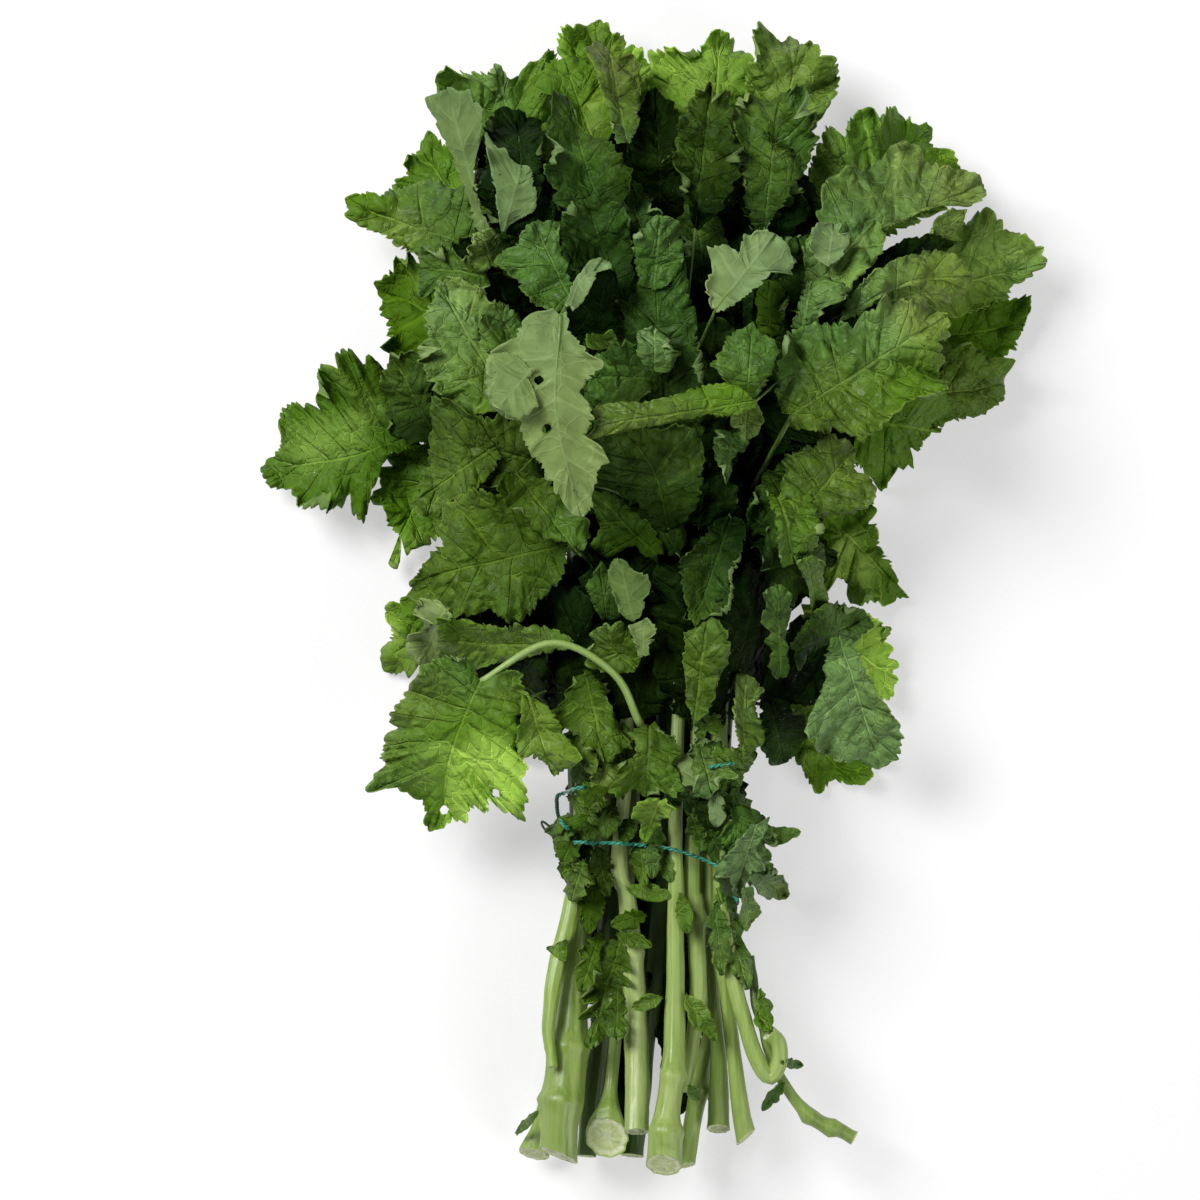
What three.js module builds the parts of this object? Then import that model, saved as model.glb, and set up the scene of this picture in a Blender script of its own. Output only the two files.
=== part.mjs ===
// A tied bunch of broccoli rabe lying on its back: cut stalks at -Y, leafy heads at +Y.
// The bunch is put together the way it lies. Each leaf and stalk is laid on the pile that is
// already there and rises just enough to clear it, and a thin elastic tie goes round the stalks.
// Units are millimetres, +Z is up, and the surface that the bunch lies on is Z = 0.
import * as THREE from "three";

// Leaves: the solid that a thin, crinkled blade keeps to itself
const LEAF_THICKNESS = 1.6;
const PETIOLE_WIDTH = 4.4;
const TIP_WIDTH = 4.8;
const LEAF_GAP = 2.2; // free height between two leaves
const LEAF_CLIMB = 0.75; // how steeply a leaf goes over what it lies on
const LEAF_WAVE = 2; // swing of the blade's edges
const WAVE_TURN = 7; // radians of that wave from base to tip
const WAVE_LAG = 1.7; // how far the left edge is ahead of the right one
const PETIOLE_ROWS = 2;
const BLADE_ROWS = 7;
const LEAF_COLUMNS = 4;
const LEAF_TEST_STEPS = 4; // places tested for clearance in each square of the blade
const LEAF_PILE_STEPS = 10;

// Stalks
const STALK_GAP = 0.5;
const STALK_CLIMB = 0.22;
const STALK_SIDES = 8;
const STALK_RINGS = 14;
const STALK_TEST_STEPS = 16; // places tested for clearance between two rings
const STALK_TEST_SPACING = 0.125; // and across it, as a share of its radius

// Tie: where it lies along the bunch at each quarter turn, from its right side over the top
const TIE_RADIUS = 0.8;
const TIE_GAP = 0.7; // how far it stays off the stalks
const TIE_PLACES = [-66, -72, -82, -102, -117, -98, -95];
const TIE_STEPS_A_TURN = 32;
const TIE_SIDES = 6;

const FINISHES = {
  stalk: { color: new THREE.Color(0.42, 0.55, 0.2), roughness: 0.4 },
  leaf: { color: new THREE.Color(0.1, 0.22, 0.05), roughness: 0.5 },
  paleLeaf: { color: new THREE.Color(0.26, 0.36, 0.16), roughness: 0.5 },
  tie: { color: new THREE.Color(0.05, 0.35, 0.25), roughness: 0.3 },
};

// Leaves under the stalks, in the order that they are laid.
//   stem: where the petiole starts; base and tip: the ends of the blade; halfWidth: at its widest
//   bend: how far the middle of the blade swings to the left; arch: how far it rises
//   roll: how the blade slopes up to its right; cup: how its two sides turn up
//   wave: the swing of its edges; way: points that the petiole goes through
const LOWER_LEAVES = {
  back_leaf_1: { stem: [-5, -50, 0], base: [-8, -5, 0], tip: [-30, 165, 0], halfWidth: 42, wave: 0 },
  back_leaf_2: { stem: [12, -48, 0], base: [22, 0, 0], tip: [62, 160, 0], halfWidth: 38, wave: 0 },
  back_leaf_3: { stem: [-16, -45, 0], base: [-45, 0, 0], tip: [-88, 105, 0], halfWidth: 30 },
  left_leaf_1: { stem: [-46, 40, 22], base: [-78, 62, 18], tip: [-101, 12, 8], halfWidth: 16, bend: 3 },
  left_leaf_2: { stem: [-46, 22, 36], base: [-86, 60, 32], tip: [-150, 48, 12], halfWidth: 33, bend: 5 },
  left_leaf_3: { stem: [-36, -16, 24], base: [-55, -2, 24], tip: [-106, -20, 8], halfWidth: 18 },
  left_leaf_4: { stem: [-44, 62, 34], base: [-60, 95, 32], tip: [-107, 118, 14], halfWidth: 22 },
  left_leaf_5: { stem: [-42, 95, 24], base: [-58, 128, 24], tip: [-95, 176, 14], halfWidth: 22 },
  left_leaf_6: { stem: [-44, 105, 44], base: [-64, 130, 42], tip: [-118, 152, 28], halfWidth: 18 },
  top_leaf_1: { stem: [-30, 120, 30], base: [-40, 145, 32], tip: [-70, 206, 22], halfWidth: 23 },
  top_leaf_2: { stem: [-12, 120, 16], base: [-16, 145, 20], tip: [-28, 221, 24], halfWidth: 26 },
  top_leaf_3: { stem: [15, 110, 16], base: [22, 145, 20], tip: [36, 218, 26], halfWidth: 26 },
  top_leaf_4: { stem: [28, 105, 34], base: [40, 140, 36], tip: [66, 212, 34], halfWidth: 23 },
  right_leaf_1: { stem: [44, 100, 28], base: [60, 135, 32], tip: [110, 186, 22], halfWidth: 27 },
  right_leaf_2: { stem: [54, 75, 20], base: [85, 92, 22], tip: [144, 104, 10], halfWidth: 18 },
  right_leaf_3: { stem: [54, 85, 40], base: [84, 108, 42], tip: [151, 127, 26], halfWidth: 23 },
  right_leaf_4: { stem: [52, 55, 28], base: [78, 70, 24], tip: [135, 72, 9], halfWidth: 17 },
  right_leaf_5: { stem: [46, 28, 26], base: [60, 38, 28], tip: [99, 0, 10], halfWidth: 18 },
  right_leaf_6: { stem: [38, -22, 26], base: [58, -8, 24], tip: [93, -38, 9], halfWidth: 15 },
  right_leaf_7: { stem: [34, -40, 10], base: [45, -38, 12], tip: [82, -77, 5], halfWidth: 20 },
};

// Stalks in the order that they are laid: the points they pass, from the cut end up.
//   radii: evenly spaced along it, from the cut end; cut: a push that slants the cut end
const STALKS = {
  under_stalk_1: { points: [[-34, -192, 6], [-27, -95, 9.5], [-30, 30, 16]], radii: [5, 5, 3] },
  under_stalk_2: { points: [[-25, -213, 5.5], [-14, -95, 10], [-12, 50, 16]], radii: [3.6, 5.5, 3] },
  under_stalk_3: { points: [[-8, -213, 6], [4, -95, 9.5], [8, 60, 16]], radii: [4.5, 5, 3] },
  under_stalk_4: { points: [[25, -192, 5], [23, -95, 8.5], [34, 15, 14]], radii: [4, 4.5, 3] },
  short_stalk: {
    points: [[-45, -212, 16], [-39, -190, 14], [-30, -140, 16], [-20, -95, 22], [-18, 20, 30]],
    radii: [5.8, 3.8, 3.8, 3.4, 3],
    cut: [0, -0.3, -0.6],
  },
  round_cut_stalk: {
    points: [[-17.5, -205, 30], [-17, -195, 20], [-14, -165, 17], [-8, -95, 20], [-4, 40, 36]],
    radii: [8, 4.2, 4, 4, 3],
    cut: [0, -0.5, -0.9],
  },
  right_stalk_1: {
    points: [[12.5, -216, 18], [15, -200, 18], [18.5, -180, 20], [21.5, -163, 22], [21.5, -140, 24], [16, 30, 36]],
    radii: [3.4, 3.1, 1.8, 1.8, 2, 2, 2],
  },
  right_stalk_2: {
    points: [[24.5, -202, 14], [24.5, -190, 16], [24, -165, 20], [19, -95, 24], [26, 20, 34]],
    radii: [4.3, 2.3, 1.8, 2, 2.2, 2.2],
  },
  right_stalk_3: {
    points: [[34.5, -205, 16], [32, -190, 18], [27.5, -158, 22], [21, -95, 30], [32, 30, 40]],
    radii: [3.7, 2.4, 2, 2, 2.2, 2.2],
    cut: [0.5, 0, -0.4],
  },
  broad_stalk: {
    points: [[11.5, -188, 30], [14, -173, 32], [16.6, -150, 34], [15.6, -118, 36], [14.5, -100, 38], [20, 30, 50]],
    radii: [2.2, 3.4, 3.3, 2.6, 2.6, 2.6, 2.6],
  },
  thick_stalk: {
    points: [[-35.5, -211, 34], [-33.5, -190, 33], [-32, -172, 33], [-27.5, -120, 32], [-20, -95, 34], [-12, 30, 50]],
    radii: [7.3, 7.7, 3, 2.6, 2.6, 2.6, 2.6],
    cut: [0.4, 0, -0.35],
  },
  side_stalk: {
    points: [[-39.5, -174, 34], [-38, -157, 34], [-35, -137, 34], [-28, -95, 32], [-26, 20, 44]],
    radii: [3.2, 3.6, 2.8, 2.4, 2.4, 2.4],
  },
  middle_stalk: {
    points: [[-6.5, -202, 36], [-5.8, -178, 36], [-7.3, -150, 36], [-10.5, -115, 38], [-12.5, -95, 42], [-4, 20, 52]],
    radii: [4.6, 4.6, 3.9, 2.7, 2.6, 2.6, 2.6],
  },
  front_stalk: {
    points: [[3.5, -214, 40], [5, -199, 38], [7, -175, 38], [7.9, -150, 38], [8, -100, 42], [12, 20, 54]],
    radii: [6.5, 4.6, 3.5, 2.7, 2.6, 2.6, 2.6],
    cut: [0, -0.3, -0.7],
  },
  folded_stalk: {
    points: [
      [42.5, -165.5, 42],
      [46.3, -169, 40],
      [46.8, -176, 38],
      [43, -182, 35],
      [38.3, -175, 34],
      [33.5, -162, 34],
      [29.5, -145, 34],
      [24, -95, 36],
      [28, 0, 50],
    ],
    radii: [3.1, 3.1, 2.9, 2.4, 2.4, 2.4, 2.4],
  },
  stray_stalk: {
    points: [[75, -205, 22], [60, -197.5, 26], [53, -191, 26], [47, -181, 24], [39, -160, 26], [36, -137, 28]],
    radii: [2.5, 2.1, 2, 1.8, 1.8],
    tied: false,
  },
  bud_stalk: { points: [[27, -93, 34], [36, -94, 36], [45, -93, 36]], radii: [1.2, 1.6, 4.5], tied: false },
};

// Leaves over the stalks, in the order that they are laid
const UPPER_LEAVES = {
  deep_leaf: { stem: [0, -20, 58], base: [5, 30, 58], tip: [0, 125, 62], halfWidth: 28 },
  dark_leaf_1: { stem: [30, 100, 45], base: [40, 135, 50], tip: [50, 188, 54], halfWidth: 19, cup: 0.3 },
  dark_leaf_2: { stem: [12, 100, 55], base: [16, 140, 60], tip: [22, 192, 64], halfWidth: 13, cup: 0.3 },
  cupped_leaf: { stem: [-12, 100, 56], base: [-18, 138, 62], tip: [-28, 197, 62], halfWidth: 20, cup: 0.35 },
  folded_leaf: { stem: [-40, 100, 56], base: [-58, 136, 68], tip: [-80, 193, 66], halfWidth: 16, roll: 0.4 },
  lit_leaf: { stem: [-30, 50, 50], base: [-55, 72, 56], tip: [-88, 120, 44], halfWidth: 22, roll: 0.15 },
  side_flap: { stem: [-28, 45, 55], base: [-50, 58, 58], tip: [-90, 44, 40], halfWidth: 18, roll: -0.2 },
  broad_leaf: { stem: [-15, 5, 58], base: [-33, 18, 64], tip: [-98, -2, 42], halfWidth: 22, arch: 4 },
  lobed_leaf: { stem: [-30, 70, 68], base: [-50, 52, 72], tip: [-28, 12, 70], halfWidth: 16 },
  olive_leaf_1: { stem: [-20, 80, 72], base: [-30, 105, 80], tip: [-52, 143, 80], halfWidth: 16, roll: 0.2 },
  drooping_leaf: {
    stem: [-5, -52, 60],
    way: [[-15, -33, 68], [-38, -22, 76]],
    base: [-66, -34, 74],
    tip: [-88, -90, 30],
    halfWidth: 31,
    bend: -4,
    arch: 10,
  },
  hanging_leaf: { stem: [35, 5, 54], base: [66, -14, 58], tip: [84, -68, 34], halfWidth: 18, arch: 6 },
  fan_leaf: { stem: [30, 20, 58], base: [50, 32, 64], tip: [84, 56, 54], halfWidth: 16 },
  turned_leaf: { stem: [25, 50, 64], base: [28, 28, 70], tip: [15, -14, 66], halfWidth: 13, cup: 0.3 },
  veined_leaf: { stem: [8, 5, 62], base: [8, 25, 68], tip: [-14, 66, 74], halfWidth: 18, roll: -0.2 },
  olive_leaf_2: { stem: [45, 100, 56], base: [68, 130, 62], tip: [128, 162, 50], halfWidth: 20, roll: 0.2 },
  curled_leaf: { stem: [50, 80, 62], base: [72, 104, 70], tip: [123, 124, 62], halfWidth: 13, bend: 6, roll: 0.3 },
  right_front_leaf: { stem: [35, 35, 68], base: [50, 66, 78], tip: [116, 106, 70], halfWidth: 27, arch: 5, roll: 0.2 },
  small_leaf_1: { stem: [30, 50, 84], base: [34, 72, 96], tip: [33, 104, 92], halfWidth: 14, cup: -0.2 },
  small_leaf_2: { stem: [10, 65, 84], base: [19, 100, 96], tip: [48, 136, 86], halfWidth: 14, cup: 0.2 },
};

// The same, but showing their pale undersides
const TURNED_LEAVES = {
  narrow_leaf: { stem: [55, 85, 96], base: [40, 72, 102], tip: [-24, 57, 106], halfWidth: 9, cup: -0.3 },
  pale_leaf: { stem: [-12, 150, 90], base: [-28, 125, 108], tip: [-28, 28, 100], halfWidth: 23, arch: 8, roll: 0.2 },
};

const { lerp, clamp } = THREE.MathUtils;
const toVectors = (points) => points.map((p) => new THREE.Vector3(...p));

// The value at t, from 0 to 1, along evenly spaced values
function valueAlong(values, t) {
  const place = t * (values.length - 1);
  const i = Math.min(Math.floor(place), values.length - 2);
  return lerp(values[i], values[i + 1], place - i);
}

// The pile: the highest point so far over each small square of the surface
const CELL = 2;
const PILE_SIZE = 300; // squares along each side
const LIFT_PASSES = 16;
const LEAST_LIFT = 0.05;
const heights = new Float32Array(PILE_SIZE * PILE_SIZE);
const squareAt = (value) => clamp(Math.floor(value / CELL) + PILE_SIZE / 2, 1, PILE_SIZE - 2);

function raisePile(x, y, z) {
  const square = squareAt(y) * PILE_SIZE + squareAt(x);
  heights[square] = Math.max(heights[square], z);
}

// The highest point in the square under (x, y) and in the eight round it
function pileTop(x, y) {
  const middle = squareAt(y) * PILE_SIZE + squareAt(x);
  let highest = 0;
  for (const row of [-PILE_SIZE, 0, PILE_SIZE])
    for (const side of [-1, 0, 1]) highest = Math.max(highest, heights[middle + row + side]);
  return highest;
}

// Lifts points until everything that hangs on them clears the pile.
// testPoints yields places to test: { x, y, z } is a low point, and held says which points hold it.
function liftOffPile(points, gap, climb, testPoints) {
  for (let pass = 0; pass < LIFT_PASSES; pass++) {
    const lifts = points.map(() => 0);
    for (const { x, y, z, held } of testPoints()) {
      const top = pileTop(x, y);
      const need = top > 0 ? top + gap - z : 0;
      if (need <= 0) continue;
      points.forEach((p, i) => {
        const lift = held.includes(p) ? need : need - climb * Math.hypot(p.x - x, p.y - y);
        lifts[i] = Math.max(lifts[i], lift);
      });
    }
    points.forEach((p, i) => (p.z += lifts[i]));
    if (Math.max(...lifts) < LEAST_LIFT) return;
  }
}

// Half of the blade's width at t, from 0 at its base to 1 at its tip, as a share of the widest
function bladeOutline(t) {
  return Math.pow(Math.sin(Math.PI * Math.pow(clamp(t, 0, 1), 0.8)), 0.62);
}

// The middle surface of a leaf, as rows of points across it from petiole to tip
function leafRows(leaf) {
  const { base, tip, halfWidth, bend = 0, arch = 0, roll = 0, cup = 0, wave = LEAF_WAVE } = leaf;
  const [stem, ...way] = toVectors([leaf.stem, ...(leaf.way ?? [])]);
  const [low, high] = toVectors([base, tip]);
  const chord = new THREE.Vector3().subVectors(high, low).setZ(0).normalize();
  const middle = low.clone().lerp(high, 0.5).add(new THREE.Vector3(-chord.y * bend, chord.x * bend, arch));
  const petiole = new THREE.CatmullRomCurve3([stem, ...way, low, middle], false, "centripetal");
  const lowAt = (way.length + 1) / (way.length + 2);
  const blade = new THREE.CatmullRomCurve3([low, middle, high], false, "centripetal");
  const rows = [];
  for (let i = 0; i <= PETIOLE_ROWS + BLADE_ROWS; i++) {
    const t = (i - PETIOLE_ROWS) / BLADE_ROWS;
    const inPetiole = i < PETIOLE_ROWS;
    const curve = inPetiole ? petiole : blade;
    const u = inPetiole ? (lowAt * i) / PETIOLE_ROWS : t;
    const centre = curve.getPoint(u);
    const along = curve.getTangent(u).setZ(0).normalize();
    const right = new THREE.Vector3(along.y, -along.x, 0);
    const narrowest = (t < 0.5 ? PETIOLE_WIDTH : TIP_WIDTH) / 2;
    const half = inPetiole ? narrowest : Math.max(narrowest, halfWidth * bladeOutline(t));
    const row = [];
    for (let j = 0; j <= LEAF_COLUMNS; j++) {
      const v = (2 * j) / LEAF_COLUMNS - 1;
      const swing = (wave * half * Math.sin(WAVE_TURN * t + (v > 0 ? 0 : WAVE_LAG))) / halfWidth;
      const p = centre.clone().addScaledVector(right, v * half);
      p.z = Math.max(p.z + half * v * roll + half * v * v * cup + v * v * swing, LEAF_THICKNESS / 2);
      row.push(p);
    }
    rows.push(row);
  }
  return rows;
}

// Places spread over the rows of a leaf, each with the four points that hold it
function* leafPlaces(rows, steps) {
  for (let i = 0; i + 1 < rows.length; i++)
    for (let j = 0; j < LEAF_COLUMNS; j++) {
      const held = [rows[i][j], rows[i][j + 1], rows[i + 1][j], rows[i + 1][j + 1]];
      for (let a = 0; a <= steps; a++)
        for (let b = 0; b <= steps; b++) {
          const near = held[0].clone().lerp(held[1], b / steps);
          const far = held[2].clone().lerp(held[3], b / steps);
          const { x, y, z } = near.lerp(far, a / steps);
          yield { x, y, z, held };
        }
    }
}

// A box with one vertex for each point of the leaf's rows, above and below, bent to their shape
function leafGeometry(rows) {
  const geometry = new THREE.BoxGeometry(1, 1, 1, LEAF_COLUMNS, rows.length - 1, 1);
  const position = geometry.getAttribute("position");
  for (let k = 0; k < position.count; k++) {
    const i = Math.round((position.getY(k) + 0.5) * (rows.length - 1));
    const j = Math.round((position.getX(k) + 0.5) * LEAF_COLUMNS);
    const { x, y, z } = rows[i][j];
    position.setXYZ(k, x, y, z + position.getZ(k) * LEAF_THICKNESS);
  }
  return geometry;
}

function makeLeaf(leaf) {
  const rows = leafRows(leaf);
  const half = LEAF_THICKNESS / 2;
  function* undersides() {
    for (const place of leafPlaces(rows, LEAF_TEST_STEPS)) yield { ...place, z: place.z - half };
  }
  liftOffPile(rows.flat(), LEAF_GAP, LEAF_CLIMB, undersides);
  for (const { x, y, z } of leafPlaces(rows, LEAF_PILE_STEPS)) raisePile(x, y, z + half);
  return leafGeometry(rows);
}

// A cylinder bent along a line of centres, with its own radius at each of them
function stalkGeometry(centres, radii, cut) {
  const last = centres.length - 1;
  const geometry = new THREE.CylinderGeometry(1, 1, 1, STALK_SIDES, last);
  const alongs = centres.map((_, i) => {
    const next = centres[Math.min(i + 1, last)];
    return new THREE.Vector3().subVectors(next, centres[Math.max(i - 1, 0)]).normalize();
  });
  alongs[0].add(new THREE.Vector3(...cut)).normalize();
  const position = geometry.getAttribute("position");
  for (let k = 0; k < position.count; k++) {
    const i = Math.round((position.getY(k) + 0.5) * last);
    const right = new THREE.Vector3(alongs[i].y, -alongs[i].x, 0).normalize();
    const up = new THREE.Vector3().crossVectors(right, alongs[i]);
    const p = centres[i]
      .clone()
      .addScaledVector(right, position.getX(k) * radii[i])
      .addScaledVector(up, position.getZ(k) * radii[i]);
    position.setXYZ(k, p.x, p.y, p.z);
  }
  return geometry;
}

// Places spread over a stalk's lower or upper half, each with the two centres that hold it
function* stalkPlaces(centres, radii, side) {
  for (let i = 0; i + 1 < centres.length; i++) {
    const held = [centres[i], centres[i + 1]];
    const along = new THREE.Vector3().subVectors(held[1], held[0]).setZ(0).normalize();
    for (let a = 0; a <= STALK_TEST_STEPS; a++) {
      const centre = held[0].clone().lerp(held[1], a / STALK_TEST_STEPS);
      const radius = lerp(radii[i], radii[i + 1], a / STALK_TEST_STEPS);
      for (let v = -1; v <= 1; v += STALK_TEST_SPACING) {
        const x = centre.x + along.y * v * radius;
        const y = centre.y - along.x * v * radius;
        yield { x, y, z: centre.z + side * radius * Math.sqrt(1 - v * v), held };
      }
    }
  }
}

const tiedPoints = [];

function makeStalk({ points, radii, cut = [0, 0, 0], tied = true }) {
  const curve = new THREE.CatmullRomCurve3(toVectors(points), false, "centripetal");
  const centres = curve.getSpacedPoints(STALK_RINGS);
  const radiiAt = centres.map((_, i) => valueAlong(radii, i / STALK_RINGS));
  centres.forEach((p, i) => (p.z = Math.max(p.z, radiiAt[i])));
  liftOffPile(centres, STALK_GAP, STALK_CLIMB, () => stalkPlaces(centres, radiiAt, -1));
  for (const { x, y, z } of stalkPlaces(centres, radiiAt, 1)) {
    raisePile(x, y, z);
    if (tied) tiedPoints.push(new THREE.Vector3(x, y, z));
  }
  for (const { x, y, z } of stalkPlaces(centres, radiiAt, -1))
    if (tied) tiedPoints.push(new THREE.Vector3(x, y, z));
  return stalkGeometry(centres, radiiAt, cut);
}

// A cord pulled tight round the tied stalks, carried along Y as it turns
function makeTie() {
  const [first, last] = [Math.min(...TIE_PLACES), Math.max(...TIE_PLACES)];
  const held = tiedPoints.filter((p) => p.y > first && p.y < last);
  const steps = (TIE_STEPS_A_TURN * (TIE_PLACES.length - 1)) / 4;
  const step = (2 * Math.PI) / TIE_STEPS_A_TURN;
  const supports = Array.from({ length: steps + 1 }, (_, k) => {
    const [x, z] = [Math.cos(k * step), Math.sin(k * step)];
    return { x, z, reach: Math.max(...held.map((p) => p.x * x + p.z * z)) + TIE_GAP + TIE_RADIUS };
  });
  const corners = supports.slice(1).map((b, k) => {
    const a = supports[k];
    const x = (a.reach * b.z - b.reach * a.z) / Math.sin(step);
    const z = (b.reach * a.x - a.reach * b.x) / Math.sin(step);
    return new THREE.Vector3(x, 0, z);
  });
  const route = new THREE.CatmullRomCurve3(corners, false, "centripetal").getSpacedPoints(steps);
  const places = new THREE.SplineCurve(TIE_PLACES.map((y, i) => new THREE.Vector2(i, y)));
  route.forEach((p, k) => p.setY(places.getPoint(k / steps).y));
  const extrudePath = new THREE.CatmullRomCurve3(route, false, "centripetal");
  const section = new THREE.Shape(new THREE.EllipseCurve(0, 0, TIE_RADIUS, TIE_RADIUS).getPoints(TIE_SIDES));
  return new THREE.ExtrudeGeometry(section, { steps: 2 * steps, extrudePath, bevelEnabled: false });
}

const bunch = new THREE.Group();

function addMesh(name, geometry, finish) {
  const mesh = new THREE.Mesh(geometry, new THREE.MeshStandardMaterial({ ...finish, metalness: 0 }));
  mesh.name = name;
  bunch.add(mesh);
}

function addLeaves(leaves, finish) {
  for (const [name, leaf] of Object.entries(leaves)) addMesh(name, makeLeaf(leaf), finish);
}

addLeaves(LOWER_LEAVES, FINISHES.leaf);
for (const [name, stalk] of Object.entries(STALKS)) addMesh(name, makeStalk(stalk), FINISHES.stalk);
addMesh("tie", makeTie(), FINISHES.tie);
addLeaves(UPPER_LEAVES, FINISHES.leaf);
addLeaves(TURNED_LEAVES, FINISHES.paleLeaf);

// Centred over the middle of what it lies on
const box = new THREE.Box3().setFromObject(bunch);
const middle = box.getCenter(new THREE.Vector3());
bunch.position.set(-middle.x, -middle.y, -box.min.z);

export default bunch;
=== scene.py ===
import heapq
import math

import bpy
import numpy as np
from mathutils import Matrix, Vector
from mathutils.bvhtree import BVHTree


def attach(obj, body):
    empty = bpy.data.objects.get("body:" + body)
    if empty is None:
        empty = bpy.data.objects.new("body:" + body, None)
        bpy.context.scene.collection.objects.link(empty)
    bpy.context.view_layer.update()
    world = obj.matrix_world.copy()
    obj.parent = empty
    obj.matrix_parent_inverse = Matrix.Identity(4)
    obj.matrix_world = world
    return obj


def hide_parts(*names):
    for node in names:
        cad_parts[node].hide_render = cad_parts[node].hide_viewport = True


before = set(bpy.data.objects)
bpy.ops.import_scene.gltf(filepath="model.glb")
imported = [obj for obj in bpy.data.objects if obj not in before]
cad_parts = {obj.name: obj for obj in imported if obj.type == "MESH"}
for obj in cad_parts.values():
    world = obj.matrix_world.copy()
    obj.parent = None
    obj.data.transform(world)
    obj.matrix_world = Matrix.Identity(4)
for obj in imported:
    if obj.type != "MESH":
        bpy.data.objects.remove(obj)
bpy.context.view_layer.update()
mm = 0.001
bunchShift = np.array([-0.79, -1.23])  # from the places below to the frame, in mm

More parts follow.
